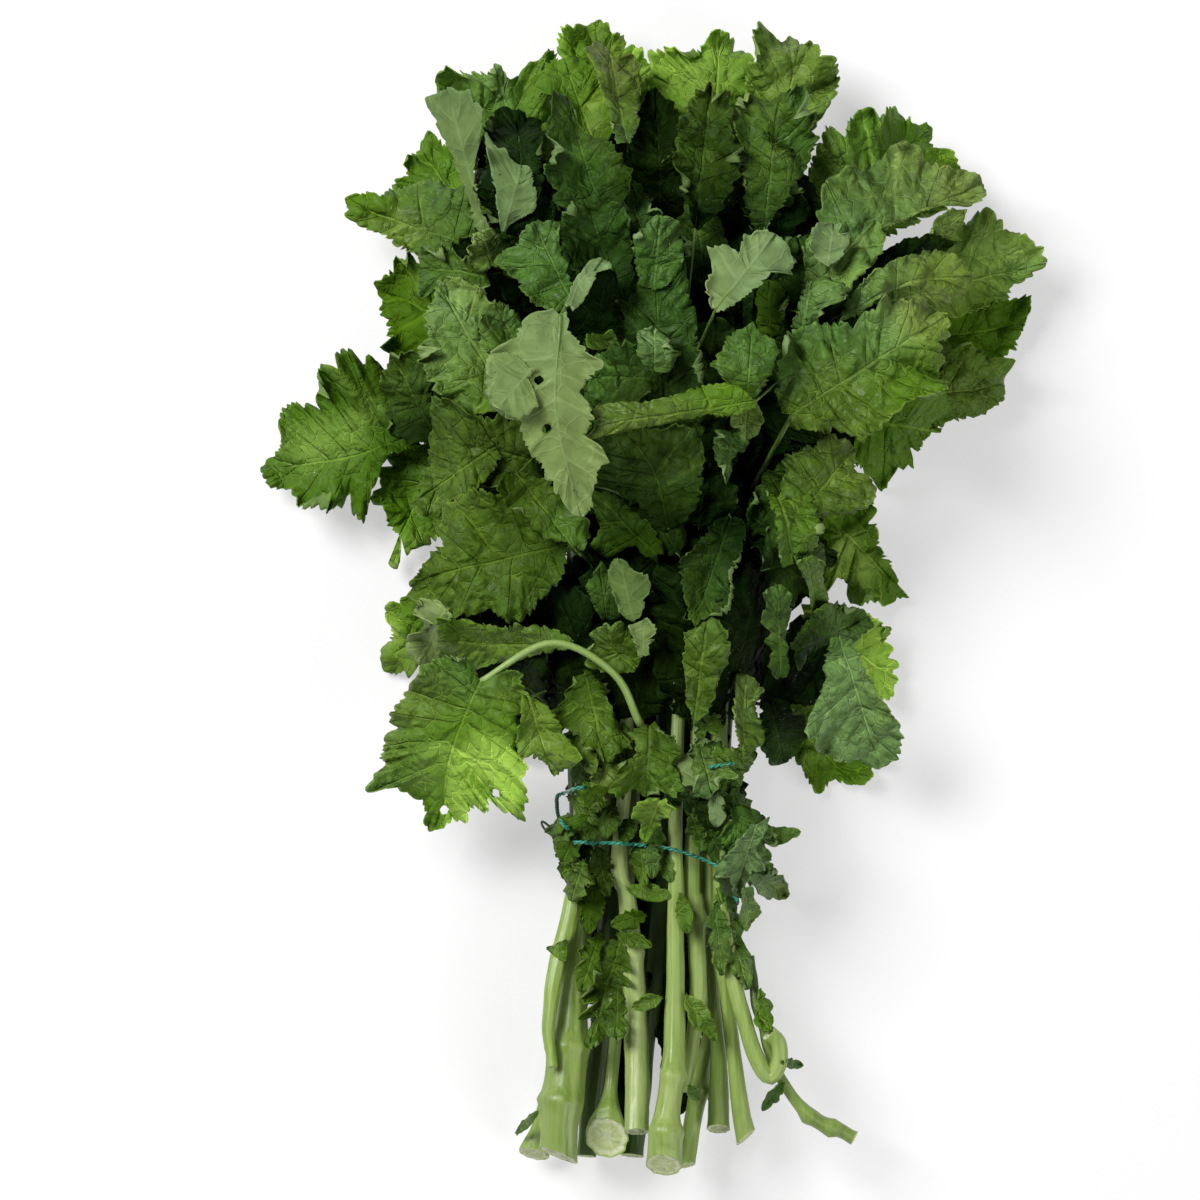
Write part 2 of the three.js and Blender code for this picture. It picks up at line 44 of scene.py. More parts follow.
# Leaves, from the lowest to the topmost, in mm: the ends of the blade and its outline round from
# the base. A leaf with no solid of its own is laid on what is already under it.
#   half: half the width, where there is no outline     bend: swing of its middle to the left
#   stem: where the petiole starts     way: points the petiole goes through
#   turned: pale underside up     glow: painted backlight, yellow-green, 0 to 1     pale: -1 painted shade, near black, to 1 grey-green
#   glowAt: the middle of the bright part and how far it reaches      over: the solid it keeps level with
#   fold: slope of the left and right halves in degrees      ruffle: swing of the edges
#   curls: (side, from, to, how far it rolls in degrees); along the margin from 0 to 1
#   holes: the middles of the holes in it      lobed: how deep its lobes are, next to the usual
#   stemRadius: of the petiole where the blade starts      step: mm between points along the margin
lowerLeaves = {
    "back_leaf_1": dict(stem=(-5, -50), base=(-8, -5), tip=(-30, 165), half=40, ruffle=0.3, pale=-0.8),
    "back_leaf_2": dict(stem=(12, -48), base=(22, 0), tip=(62, 160), half=36, ruffle=0.3, pale=-0.8),
    "back_leaf_3": dict(stem=(-16, -45), base=(-45, 0), tip=(-88, 105), half=28, ruffle=0.4, pale=-0.5),
    "left_leaf_1": dict(
        stem=(-46, 40), base=(-80, 58), tip=(-101, 12), glow=0.7, ruffle=0.8, pale=0.1,
        outline=[(-80, 60), (-92, 56), (-99, 57), (-103, 48), (-107, 38), (-106, 33), (-103, 34),
                 (-101, 31), (-101, 26), (-97, 24), (-95, 20), (-95, 17), (-99, 14), (-101, 11),
                 (-97, 10), (-94, 15), (-90, 18), (-84, 21), (-78, 22), (-74, 40)],
    ),
    "left_leaf_2": dict(
        stem=(-46, 22), base=(-87, 62), tip=(-149, 48), bend=3, glow=0.42, ruffle=0.8, fold=(8, -6),
        pale=-0.3,
        outline=[(-84, 66), (-92, 84), (-101, 86), (-104, 87), (-107, 91), (-113, 91), (-117, 93),
                 (-121, 93), (-124, 89), (-127, 87), (-128, 84), (-127, 78), (-130, 74), (-134, 73),
                 (-142, 75), (-142, 68), (-143, 63), (-142, 56), (-145, 53), (-150, 49), (-149, 46),
                 (-146, 41), (-138, 40), (-135, 37), (-134, 33), (-130, 31), (-127, 28), (-123, 30),
                 (-121, 34), (-119, 33), (-117, 37), (-115, 38), (-117, 33), (-114, 30), (-110, 27),
                 (-108, 38), (-105, 45), (-100, 54), (-90, 56)],
    ),
    "left_leaf_3": dict(
        stem=(-36, -16), base=(-60, -6), tip=(-103, -24), glow=1.1, glowAt=(-100, -15, 18), pale=0,
        outline=[(-60, -2), (-85, 2), (-96, 0), (-102, -5), (-102, -10), (-98, -15), (-103, -20),
                 (-104, -24), (-102, -30), (-98, -31), (-95, -29), (-93, -31), (-90, -29), (-80, -24),
                 (-62, -20)],
    ),
    "left_leaf_4": dict(
        stem=(-44, 62), base=(-62, 96), tip=(-107, 119), glow=0.45, ruffle=0.9, pale=-0.6,
        outline=[(-62, 92), (-62, 110), (-80, 120), (-87, 125), (-92, 129), (-98, 128), (-99, 125),
                 (-102, 122), (-107, 120), (-104, 114), (-104, 106), (-100, 103), (-101, 98),
                 (-103, 93), (-97, 90), (-88, 88), (-75, 84)],
    ),
    "left_leaf_5": dict(
        stem=(-42, 95), base=(-60, 128), tip=(-91, 175), glow=0.8, ruffle=0.8,
        outline=[(-58, 126), (-64, 150), (-75, 168), (-80, 174), (-86, 178), (-89, 175), (-89, 171),
                 (-94, 168), (-95, 164), (-93, 162), (-96, 160), (-100, 160), (-101, 157), (-95, 150),
                 (-85, 138), (-70, 126)],
    ),
    "left_leaf_6": dict(
        stem=(-44, 105), base=(-64, 131), tip=(-118, 150), glow=0.9, glowAt=(-113, 150, 15), pale=0.4,
        ruffle=0.6, fold=(5, -10),
        outline=[(-64, 127), (-60, 140), (-70, 154), (-85, 159), (-92, 158), (-99, 156), (-102, 157),
                 (-105, 153), (-108, 155), (-112, 153), (-118, 152), (-117, 149), (-117, 145),
                 (-114, 142), (-111, 140), (-103, 138), (-95, 132), (-89, 129), (-76, 126)],
    ),
    "top_leaf_1": dict(
        stem=(-30, 120), base=(-44, 146), tip=(-61, 204), glow=0.6, ruffle=1.2, pale=1,
        outline=[(-44, 142), (-36, 165), (-34, 190), (-35, 206), (-38, 208), (-42, 206), (-46, 205),
                 (-50, 204), (-52, 199), (-55, 197), (-58, 202), (-60, 204), (-63, 203), (-63, 199),
                 (-70, 200), (-79, 200), (-83, 195), (-80, 185), (-68, 160), (-55, 145)],
    ),
    "top_leaf_2": dict(
        stem=(-12, 120), base=(-16, 145), tip=(-22, 221), glow=0.9, pale=0.8,
        outline=[(-16, 142), (-6, 165), (-2, 190), (2, 208), (-4, 209), (-5, 213), (-8, 214),
                 (-12, 217), (-15, 214), (-17, 219), (-20, 221), (-25, 218), (-31, 218), (-35, 214),
                 (-37, 209), (-35, 200), (-34, 180), (-28, 155)],
    ),
    "top_leaf_3": dict(
        stem=(15, 110), base=(22, 145), tip=(26, 217), glow=0.8, pale=0.6,
        outline=[(22, 142), (36, 165), (40, 190), (38, 205), (36, 211), (32, 212), (31, 215), (26, 217),
                 (21, 214), (18, 209), (14, 210), (10, 208), (5, 209), (-1, 208), (-3, 200), (2, 180),
                 (10, 155)],
    ),
    "top_leaf_4": dict(
        stem=(28, 105), base=(42, 142), tip=(57, 214), glow=0.4, pale=1, ruffle=1.2,
        outline=[(40, 138), (52, 150), (60, 167), (62, 178), (66, 185), (71, 192), (72, 200), (69, 205),
                 (64, 206), (64, 209), (62, 211), (56, 211), (57, 215), (53, 217), (50, 213), (47, 217),
                 (41, 217), (38, 213), (39, 209), (36, 200), (34, 180), (34, 155)],
    ),
    "right_leaf_1": dict(
        stem=(44, 100), base=(62, 136), tip=(108, 181), glow=0.7, ruffle=0.8, pale=0.9,
        outline=[(60, 133), (58, 150), (61, 166), (64, 172), (66, 176), (71, 174), (74, 178), (80, 182),
                 (87, 183), (93, 186), (98, 182), (102, 180), (105, 181), (108, 180), (107, 175),
                 (108, 171), (112, 173), (118, 171), (119, 166), (122, 163), (124, 158), (122, 150),
                 (100, 142), (80, 135)],
    ),
    "right_leaf_2": dict(
        stem=(54, 75), base=(86, 95), tip=(144, 104), glow=1,
        outline=[(84, 90), (86, 105), (100, 110), (118, 114), (128, 116), (135, 112), (144, 114),
                 (144, 107), (141, 100), (140, 95), (134, 92), (138, 88), (133, 84), (124, 84),
                 (108, 84), (94, 84)],
    ),
    "right_leaf_3": dict(
        stem=(54, 85), base=(84, 110), tip=(151, 127), glow=0.4, ruffle=0.5, fold=(6, -4), pale=0.8,
        outline=[(82, 106), (84, 122), (96, 134), (108, 139), (118, 142), (127, 148), (136, 140),
                 (146, 134), (151, 128), (150, 125), (145, 122), (138, 118), (135, 113), (122, 108),
                 (108, 104), (92, 100)],
    ),
    "right_leaf_4": dict(
        stem=(52, 55), base=(78, 73), tip=(136, 80), glow=0.4, pale=0.5,
        outline=[(76, 70), (84, 84), (100, 92), (115, 96), (126, 93), (133, 90), (138, 88), (134, 82),
                 (135, 76), (130, 71), (118, 68), (112, 66), (108, 62), (98, 60), (88, 60)],
    ),
    "right_leaf_5": dict(
        stem=(46, 28), base=(60, 36), tip=(98, -1), glow=0.7, pale=0.3,
        outline=[(58, 36), (66, 44), (78, 40), (84, 34), (84, 27), (86, 22), (88, 16), (92, 10),
                 (94, 3), (98, -1), (93, -2), (88, -5), (84, -2), (78, -5), (74, -2), (75, 5), (70, 6),
                 (66, 0), (60, 8), (54, 20), (54, 30)],
    ),
    "right_leaf_6": dict(
        stem=(38, -22), base=(58, -10), tip=(94, -33), glow=1.5, pale=1,
        outline=[(56, -4), (66, -4), (76, -8), (83, -7), (86, -10), (92, -10), (91, -14), (88, -18),
                 (93, -21), (90, -24), (93, -27), (91, -30), (94, -32), (92, -36), (92, -40), (86, -40),
                 (78, -34), (66, -28), (55, -18)],
    ),
    "right_leaf_7": dict(
        stem=(34, -40), base=(47, -43), tip=(78, -73), glow=0.8, pale=0.2,
        outline=[(44, -36), (56, -38), (72, -44), (86, -56), (90, -64), (84, -66), (84, -69), (80, -73),
                 (75, -72), (68, -71), (65, -74), (62, -75), (58, -69), (54, -62), (48, -58), (44, -48)],
    ),
}

upperLeaves = {
    "deep_leaf": dict(
        stem=(0, -20), base=(5, 30), tip=(0, 140), pale=-0.5, ruffle=0.6,
        outline=[(6, 28), (16, 45), (20, 75), (16, 100), (12, 125), (4, 141), (-4, 142), (-10, 128),
                 (-14, 105), (-14, 75), (-8, 45)],
    ),
    "shade_leaf_1": dict(
        base=(-48, 136), tip=(-52, 184), pale=-0.75,
        outline=[(-56, 136), (-62, 150), (-64, 165), (-63, 180), (-56, 185), (-48, 183), (-42, 180),
                 (-42, 160), (-43, 148), (-48, 136)],
    ),
    "backlit_leaf": dict(
        base=(-22, 170), tip=(-34, 205), glow=0.55, ruffle=0.5, pale=-0.2,
        outline=[(-18, 172), (-15, 180), (-17, 192), (-22, 204), (-30, 206), (-40, 203), (-47, 196),
                 (-42, 188), (-33, 188), (-31, 180), (-26, 175)],
    ),
    "dark_leaf_1": dict(
        stem=(30, 100), base=(42, 137), tip=(48, 191), pale=-0.15, ruffle=1.2,
        outline=[(40, 134), (50, 148), (58, 160), (62, 172), (61, 184), (56, 193), (50, 190), (40, 190),
                 (31, 188), (30, 180), (32, 168), (34, 150)],
    ),
    "dark_leaf_2": dict(
        stem=(12, 100), base=(16, 140), tip=(22, 194), pale=-0.5, ruffle=1.2, fold=(30, 30),
        outline=[(16, 138), (26, 145), (33, 158), (33, 168), (30, 180), (28, 192), (20, 195), (14, 188),
                 (10, 180), (7, 167), (9, 155)],
    ),
    "cupped_leaf": dict(
        stem=(-12, 100), base=(-18, 138), tip=(-34, 191), pale=-0.4, ruffle=0.7, fold=(45, 25),
        outline=[(-18, 136), (-10, 152), (-8, 160), (-12, 168), (-18, 172), (-24, 175), (-29, 178),
                 (-31, 186), (-33, 191), (-38, 190), (-41, 176), (-42, 160), (-38, 148), (-28, 140)],
    ),
    "upright_leaf": dict(
        base=(-10, 171), tip=(-17, 210), ruffle=0.6, pale=0.4,
        outline=[(-14, 170), (-17, 184), (-21, 195), (-26, 206), (-21, 212), (-18, 210), (-15, 206),
                 (-8, 207), (-4, 203), (-5, 190), (-6, 178), (-9, 171)],
    ),
    "folded_leaf": dict(
        stem=(-40, 100), base=(-64, 137), tip=(-79, 193), turned=True, ruffle=0.3, fold=(-35, 20),
        pale=-0.5,
        outline=[(-66, 136), (-71, 150), (-76, 165), (-80, 174), (-84, 182), (-88, 190), (-80, 193),
                 (-71, 191), (-65, 184), (-66, 172), (-69, 160), (-67, 148), (-62, 138)],
    ),
    "folded_edge": dict(
        base=(-57, 138), tip=(-50, 163), turned=True, ruffle=0.6, pale=-0.5,
        outline=[(-58, 137), (-60, 150), (-63, 165), (-65, 178), (-61, 171), (-56, 169), (-55, 164),
                 (-52, 162), (-47, 162), (-46, 155), (-44, 148), (-47, 144), (-53, 142)],
    ),
    "wrinkled_leaf_1": dict(
        base=(-64, 122), tip=(-88, 124), pale=0, ruffle=1.5,
        outline=[(-90, 130), (-82, 133), (-74, 129), (-66, 127), (-62, 118), (-70, 113), (-80, 117),
                 (-89, 112)],
    ),
    "shade_leaf_2": dict(
        base=(-84, 62), tip=(-99, 90), pale=-0.35,
        outline=[(-82, 58), (-84, 80), (-90, 91), (-100, 93), (-104, 80), (-101, 62), (-94, 57)],
    ),
    "lit_leaf": dict(
        stem=(-30, 50), base=(-56, 74), tip=(-83, 119), glow=0.25, pale=0.6, ruffle=0.8,
        outline=[(-55, 70), (-54, 90), (-56, 104), (-62, 113), (-68, 117), (-75, 120), (-82, 119),
                 (-84, 112), (-88, 106), (-85, 98), (-91, 92), (-87, 84), (-84, 77), (-77, 72),
                 (-68, 68)],
    ),
    "shade_leaf_3": dict(
        base=(-44, 50), tip=(-76, 58), pale=-0.4, ruffle=0.5,
        outline=[(-74, 73), (-66, 66), (-58, 68), (-48, 63), (-42, 50), (-42, 40), (-52, 37), (-66, 40),
                 (-78, 46)],
    ),
    "side_flap": dict(
        stem=(-28, 45), base=(-60, 56), tip=(-92, 34), pale=-0.1, ruffle=0.5, fold=(20, -10),
        outline=[(-58, 52), (-66, 64), (-76, 72), (-84, 75), (-85, 60), (-87, 46), (-89, 38), (-93, 34),
                 (-88, 29), (-80, 32), (-72, 36), (-62, 44)],
    ),
    "broad_leaf": dict(
        stem=(-15, 5), base=(-33, 18), tip=(-93, 4), glow=0.1, pale=-0.2, ruffle=0.6, fold=(-6, 6),
        outline=[(-33, 18), (-36, 30), (-46, 34), (-58, 37), (-68, 38), (-78, 34), (-84, 27), (-80, 18),
                 (-84, 14), (-88, 12), (-90, 6), (-93, 4), (-92, 1), (-96, 0), (-90, -4), (-84, -6),
                 (-78, -9), (-70, -9), (-63, -8), (-56, -10), (-50, -12), (-47, -9), (-44, -2),
                 (-38, 0), (-34, 8)],
    ),
    "wilted_patch": dict(
        base=(-78, -6), tip=(-90, -28), turned=True, ruffle=2, glow=0.1, pale=0.3,
        outline=[(-90, -2), (-82, -3), (-76, -9), (-79, -20), (-87, -29), (-94, -22), (-92, -12)],
    ),
    "under_broad_leaf": dict(
        base=(-32, -20), tip=(-82, -18), pale=0.4, ruffle=0.9, fold=(-15, -25), glow=0.6,
        glowAt=(-73, -20, 14),
        outline=[(-82, -10), (-70, -11), (-58, -13), (-46, -12), (-36, -14), (-28, -21), (-40, -22),
                 (-52, -25), (-64, -27), (-76, -31), (-83, -26)],
    ),
    "lobed_leaf": dict(
        stem=(-30, 70), base=(-52, 45), tip=(-28, 13), glow=0.1, pale=-0.2, ruffle=0.8,
        outline=[(-56, 47), (-48, 45), (-40, 43), (-34, 36), (-28, 31), (-24, 26), (-25, 19), (-28, 13),
                 (-31, 18), (-35, 20), (-38, 19), (-42, 20), (-46, 24), (-48, 29), (-54, 31), (-60, 38)],
    ),
    "olive_leaf_3": dict(
        base=(-52, 94), tip=(-60, 110), pale=0.35, ruffle=0.7,
        outline=[(-65, 109), (-58, 111), (-52, 107), (-48, 101), (-55, 92), (-63, 90), (-67, 98)],
    ),
    "curled_scrap_1": dict(
        base=(-62, 126), tip=(-66, 138), glow=0.3, ruffle=1.8, pale=1,
        outline=[(-71, 136), (-62, 138), (-55, 133), (-58, 126), (-66, 123), (-73, 130)],
    ),
    "olive_leaf_1": dict(
        stem=(-20, 80), base=(-32, 111), tip=(-46, 141), pale=0.25, ruffle=0.7, fold=(15, -20),
        outline=[(-29, 109), (-33, 122), (-36, 132), (-36, 140), (-44, 142), (-50, 138), (-52, 133),
                 (-58, 130), (-61, 126), (-56, 122), (-51, 115), (-46, 109), (-38, 106)],
    ),
    "centre_back_leaf_1": dict(
        base=(-13, 112), tip=(-26, 150), pale=-0.55, fold=(20, 20),
        outline=[(-10, 110), (-7, 130), (-11, 146), (-22, 151), (-32, 147), (-37, 138), (-35, 128),
                 (-30, 118), (-22, 109)],
    ),
    "centre_back_leaf_2": dict(
        base=(0, 116), tip=(2, 142), pale=0.2,
        outline=[(-6, 117), (-8, 134), (0, 143), (9, 141), (12, 132), (10, 123), (4, 116)],
    ),
    "olive_leaf_2": dict(
        stem=(45, 100), base=(68, 131), tip=(126, 156), pale=0.6, ruffle=0.6, fold=(6, 25),
        outline=[(66, 128), (62, 138), (63, 150), (66, 158), (72, 162), (76, 167), (83, 165), (90, 170),
                 (96, 172), (102, 171), (105, 165), (110, 162), (118, 161), (124, 160), (127, 152),
                 (122, 148), (112, 148), (104, 147), (96, 143), (86, 138), (76, 132)],
    ),
    "small_point": dict(
        base=(106, 135), tip=(119, 146), pale=0.6, glow=0.2,
        outline=[(104, 134), (107, 142), (114, 147), (120, 147), (118, 141), (110, 135)],
    ),
    "glossy_edge": dict(
        base=(86, 125), tip=(116, 133), pale=-0.9, ruffle=0.5,
        outline=[(85, 123), (93, 134), (104, 137), (116, 134), (106, 127), (93, 122)],
    ),
    "curled_leaf": dict(
        stem=(50, 80), base=(72, 105), tip=(121, 121), bend=4, glow=0.2, pale=0.7, fold=(-20, -35),
        ruffle=0.7,
        outline=[(70, 103), (75, 114), (84, 122), (92, 126), (100, 130), (107, 132), (113, 129),
                 (118, 127), (122, 120), (118, 114), (113, 111), (109, 109), (104, 113), (98, 116),
                 (92, 117), (86, 113), (79, 106)],
    ),
    "cluster_leaf_1": dict(
        base=(58, 113), tip=(82, 139), glow=0.45, pale=1, ruffle=1.2,
        outline=[(55, 111), (58, 122), (56, 132), (63, 139), (72, 139), (76, 134), (80, 137), (84, 142),
                 (88, 136), (86, 128), (80, 121), (76, 118), (72, 111), (64, 108)],
    ),
    "cluster_leaf_2": dict(
        base=(66, 124), tip=(68, 139), turned=True, pale=-0.1,
        outline=[(60, 128), (59, 136), (64, 140), (72, 139), (75, 134), (71, 127), (66, 124)],
    ),
    "cluster_leaf_3": dict(
        base=(56, 100), tip=(60, 118), glow=0.3, pale=0.8,
        outline=[(52, 101), (55, 110), (58, 118), (66, 121), (73, 116), (72, 110), (64, 108), (62, 101)],
    ),
    "cluster_leaf_4": dict(
        base=(44, 96), tip=(44, 119), glow=0.4, ruffle=1.4, pale=-0.6,
        outline=[(40, 98), (39, 110), (40, 119), (47, 119), (51, 110), (48, 98)],
    ),
    "small_leaf_2": dict(
        stem=(15, 86), base=(23, 107), tip=(46, 136), turned=True, ruffle=0.5, fold=(10, -10), pale=-0.1,
        outline=[(22, 105), (19, 116), (22, 122), (20, 130), (28, 131), (32, 128), (34, 135), (42, 137),
                 (50, 134), (53, 126), (51, 120), (45, 121), (40, 116), (34, 112), (28, 107)],
    ),
    "right_low_leaf": dict(
        base=(80, 66), tip=(112, 62), glow=0.7, ruffle=1.1, pale=0.5,
        outline=[(78, 68), (88, 74), (98, 76), (110, 75), (119, 71), (117, 66), (112, 65), (110, 62),
                 (107, 66), (104, 60), (102, 55), (98, 58), (101, 53), (100, 50), (94, 49), (92, 46),
                 (90, 42), (87, 45), (80, 46), (77, 56)],
    ),
    "fan_leaf": dict(
        stem=(30, 20), base=(57, 31), tip=(76, 55), pale=0.35, ruffle=0.5, fold=(8, 8),
        outline=[(52, 30), (47, 40), (50, 46), (47, 52), (54, 52), (60, 54), (62, 59), (68, 60),
                 (74, 58), (78, 52), (76, 47), (82, 44), (84, 38), (82, 33), (78, 30), (68, 29),
                 (58, 27)],
    ),
    "right_front_leaf": dict(
        stem=(35, 35), base=(52, 67), tip=(110, 104), glow=0.6, pale=0.5, ruffle=0.8, fold=(10, 4),
        glowAt=(96, 72, 20),
        outline=[(50, 63), (46, 76), (46, 88), (50, 97), (58, 103), (66, 101), (75, 103), (83, 107),
                 (88, 112), (94, 110), (103, 113), (106, 107), (111, 105), (112, 98), (108, 92),
                 (111, 87), (107, 83), (113, 78), (108, 74), (98, 72), (90, 66), (85, 61), (83, 57),
                 (79, 55), (76, 58), (69, 61), (60, 61)],
    ),
    "toothed_leaf_2": dict(
        base=(47, 36), tip=(53, 10), glow=0.25, pale=0.2, ruffle=0.8,
        outline=[(42, 40), (48, 39), (50, 34), (55, 36), (61, 38), (61, 28), (65, 23), (62, 20),
                 (61, 15), (57, 15), (54, 11), (48, 9), (46, 18), (45, 30)],
    ),
    "toothed_leaf_3": dict(
        base=(57, 13), tip=(63, -9), glow=0.3, pale=0.7,
        outline=[(53, 11), (60, 14), (65, 11), (64, 5), (67, -3), (66, -7), (60, -9), (59, 0), (56, 6)],
    ),
    "dark_right_leaf": dict(
        base=(54, -22), tip=(81, -9), pale=0.1, ruffle=1.1,
        outline=[(52, -20), (57, -12), (61, -6), (70, -4), (80, -6), (84, -12), (76, -19), (68, -21),
                 (60, -22), (55, -31)],
    ),
    "pocket_leaf": dict(
        base=(71, -19), tip=(55, -40), pale=-0.9, ruffle=0.7,
        outline=[(73, -18), (66, -20), (61, -22), (57, -27), (54, -34), (53, -42), (60, -43), (67, -38),
                 (70, -28)],
    ),
    "low_dark_leaf": dict(
        base=(44, -42), tip=(50, -65), pale=-0.7,
        outline=[(41, -41), (47, -40), (53, -43), (58, -48), (59, -55), (55, -60), (51, -64), (45, -66),
                 (40, -60), (40, -50)],
    ),
    "hanging_leaf": dict(
        base=(70, -17), tip=(86, -66), pale=0.85, glow=0.05, ruffle=0.4, fold=(6, -12),
        outline=[(67, -17), (74, -18), (79, -27), (84, -38), (88, -44), (93, -50), (94, -56), (92, -64),
                 (85, -67), (78, -63), (70, -64), (62, -60), (57, -52), (60, -45), (63, -38), (65, -28)],
    ),
    "narrow_lobed_leaf": dict(
        base=(48, -32), tip=(47, 3), pale=0.1, ruffle=0.8,
        outline=[(46, -33), (43, -28), (45, -22), (42, -19), (44, -14), (40, -12), (41, -8), (43, -5),
                 (41, -1), (44, 2), (48, 3), (52, 0), (52, -8), (50, -15), (51, -25), (51, -32)],
    ),
    "grey_strip": dict(
        base=(33, -62), tip=(35, -30), pale=0.5, ruffle=0.8,
        outline=[(31, -31), (36, -31), (42, -37), (38, -42), (42, -50), (42, -56), (36, -62), (32, -60),
                 (30, -45)],
    ),
    "low_centre_leaf": dict(
        base=(15, -50), tip=(20, -9), pale=0.1, ruffle=0.6, fold=(10, 25),
        outline=[(11, -16), (17, -12), (22, -9), (27, -15), (29, -20), (28, -26), (25, -31), (23, -38),
                 (20, -46), (15, -50), (12, -40), (11, -28)],
    ),
    "veined_leaf": dict(
        stem=(8, 5), base=(5, 24), tip=(-12, 62), pale=-0.35, ruffle=0.5, bend=-4,
        outline=[(3, 22), (12, 26), (16, 32), (18, 42), (18, 52), (16, 62), (8, 63), (0, 63), (-10, 63),
                 (-20, 61), (-24, 50), (-24, 40), (-14, 37), (-6, 33), (0, 27)],
    ),
    "turned_leaf": dict(
        stem=(25, 50), base=(29, 28), tip=(15, -13), pale=-0.5, ruffle=0.6, curls=[(-1, 0.3, 0.9, 150)],
        outline=[(34, 27), (30, 29), (24, 28), (20, 23), (14, 15), (10, 12), (10, 3), (12, -8),
                 (15, -14), (20, -10), (25, -9), (28, -8), (30, 0), (30, 6), (32, 12), (35, 20)],
    ),
    "v_leaf": dict(
        base=(30, 60), tip=(27, 41), pale=0.4, fold=(35, 35),
        outline=[(23, 61), (33, 61), (37, 57), (31, 50), (27, 40), (22, 50)],
    ),
    "arched_strip": dict(
        base=(1, 14), tip=(-22, 37), glow=0.15, pale=-0.5, fold=(-35, -25), ruffle=0.6,
        outline=[(4, 10), (3, 18), (-2, 26), (-8, 32), (-15, 37), (-24, 39), (-23, 31), (-20, 25),
                 (-25, 18), (-19, 15), (-16, 11), (-12, 17), (-8, 18), (-3, 13)],
    ),
    "under_pale_piece": dict(
        base=(-18, -10), tip=(-21, 11), pale=-0.4, ruffle=0.7,
        outline=[(-26, 2), (-20, 12), (-12, 0), (-13, -10), (-19, -11), (-23, -6)],
    ),
    "pale_piece_1": dict(
        base=(-8, -11), tip=(-13, 12), turned=True, ruffle=0.6, glow=0.1, pale=-0.7,
        outline=[(-18, 8), (-15, 13), (-10, 11), (-7, 7), (-3, 6), (-1, 1), (-4, -4), (-5, -10),
                 (-9, -11), (-13, -8), (-15, -2), (-17, 3)],
    ),
    "green_piece_1": dict(
        base=(-7, -29), tip=(-22, -16), glow=0.1, pale=0.3,
        outline=[(-20, -13), (-12, -12), (-7, -18), (-4, -23), (-7, -30), (-15, -31), (-26, -28),
                 (-25, -22), (-22, -19), (-25, -16)],
    ),
    "pale_piece_2": dict(
        base=(-4, -24), tip=(-4, -11), turned=True, ruffle=0.6, pale=-0.3,
        outline=[(-10, -13), (-3, -10), (1, -14), (0, -18), (-2, -20), (-2, -24), (-6, -25), (-8, -18)],
    ),
    "hanging_piece": dict(
        base=(-26, -30), tip=(-19, -64), pale=-0.3, glow=0.1, ruffle=0.9,
        outline=[(-31, -32), (-24, -30), (-19, -37), (-16, -45), (-13, -52), (-9, -56), (-8, -60),
                 (-12, -60), (-15, -64), (-19, -65), (-22, -60), (-26, -60), (-28, -56), (-32, -52),
                 (-37, -50), (-39, -45), (-34, -40), (-33, -36)],
    ),
    "drooping_leaf": dict(
        stem=(-5, -52), way=[(-15, -33), (-38, -22)], base=(-66, -34), tip=(-82, -90), bend=-3,
        glow=2.1, glowAt=(-68, -76, 25),
        stemRadius=1.2, pale=0.6, ruffle=0.7, fold=(0, -8),
        holes=[(-80, -82), (-60, -76)],
        outline=[(-58, -30), (-50, -30), (-48, -38), (-50, -50), (-52, -60), (-48, -66), (-48, -80),
                 (-50, -81), (-49, -86), (-52, -87), (-55, -82), (-60, -84), (-62, -78), (-64, -84),
                 (-70, -81), (-72, -87), (-77, -85), (-80, -89), (-86, -90), (-88, -88), (-87, -84),
                 (-89, -79), (-95, -78), (-99, -73), (-104, -76), (-109, -74), (-107, -70), (-103, -60),
                 (-102, -53), (-99, -45), (-93, -36), (-88, -28), (-78, -24), (-68, -26)],
    ),
    "hanging_flap": dict(
        stem=(-36, -36), base=(-48, -40), tip=(-38, -69), pale=1, glow=0.7, ruffle=0.7, fold=(10, -10),
        outline=[(-50, -38), (-44, -41), (-38, -46), (-33, -54), (-27, -64), (-30, -67), (-35, -68),
                 (-38, -70), (-40, -66), (-43, -64), (-46, -62), (-51, -64), (-52, -55), (-50, -45)],
    ),
    "centre_leaf_1": dict(
        base=(0, 80), tip=(-23, 82), pale=-0.1,
        outline=[(-22, 89), (-14, 93), (-5, 94), (4, 87), (2, 78), (-7, 71), (-18, 70), (-26, 78)],
    ),
    "centre_leaf_3": dict(
        base=(0, 84), tip=(0, 101), pale=0.6,
        outline=[(-6, 98), (0, 101), (7, 96), (10, 90), (5, 83), (-3, 84), (-7, 91)],
    ),
    "small_leaf_1": dict(
        stem=(33, 52), base=(35, 73), tip=(37, 102), glow=0.05, pale=0, ruffle=0.4, fold=(6, 6),
        outline=[(35, 71), (40, 75), (45, 85), (48, 91), (44, 96), (40, 98), (37, 102), (31, 98),
                 (26, 97), (25, 92), (21, 86), (28, 78)],
    ),
    "end_curl": dict(
        base=(35, 71), tip=(35, 59), glow=0.4, pale=1, ruffle=0.8, fold=(30, 30),
        outline=[(29, 69), (29, 62), (34, 58), (40, 61), (42, 67), (38, 72), (33, 73)],
    ),
    "narrow_leaf": dict(
        stem=(50, 80), base=(38, 72), tip=(-24, 62), ruffle=0.3, fold=(-25, -10), pale=0.35, glow=0.7,
        glowAt=(26, 71, 15),
        outline=[(39, 70), (34, 76), (28, 79), (20, 78), (10, 75), (0, 72), (-15, 71), (-25, 70),
                 (-21, 64), (-27, 57), (-18, 59), (-10, 61), (0, 63), (10, 65), (20, 67), (30, 66)],
    ),
    # painted shade: near black, for the shadow in the hollow of a curl
    "curl_hollow": dict(
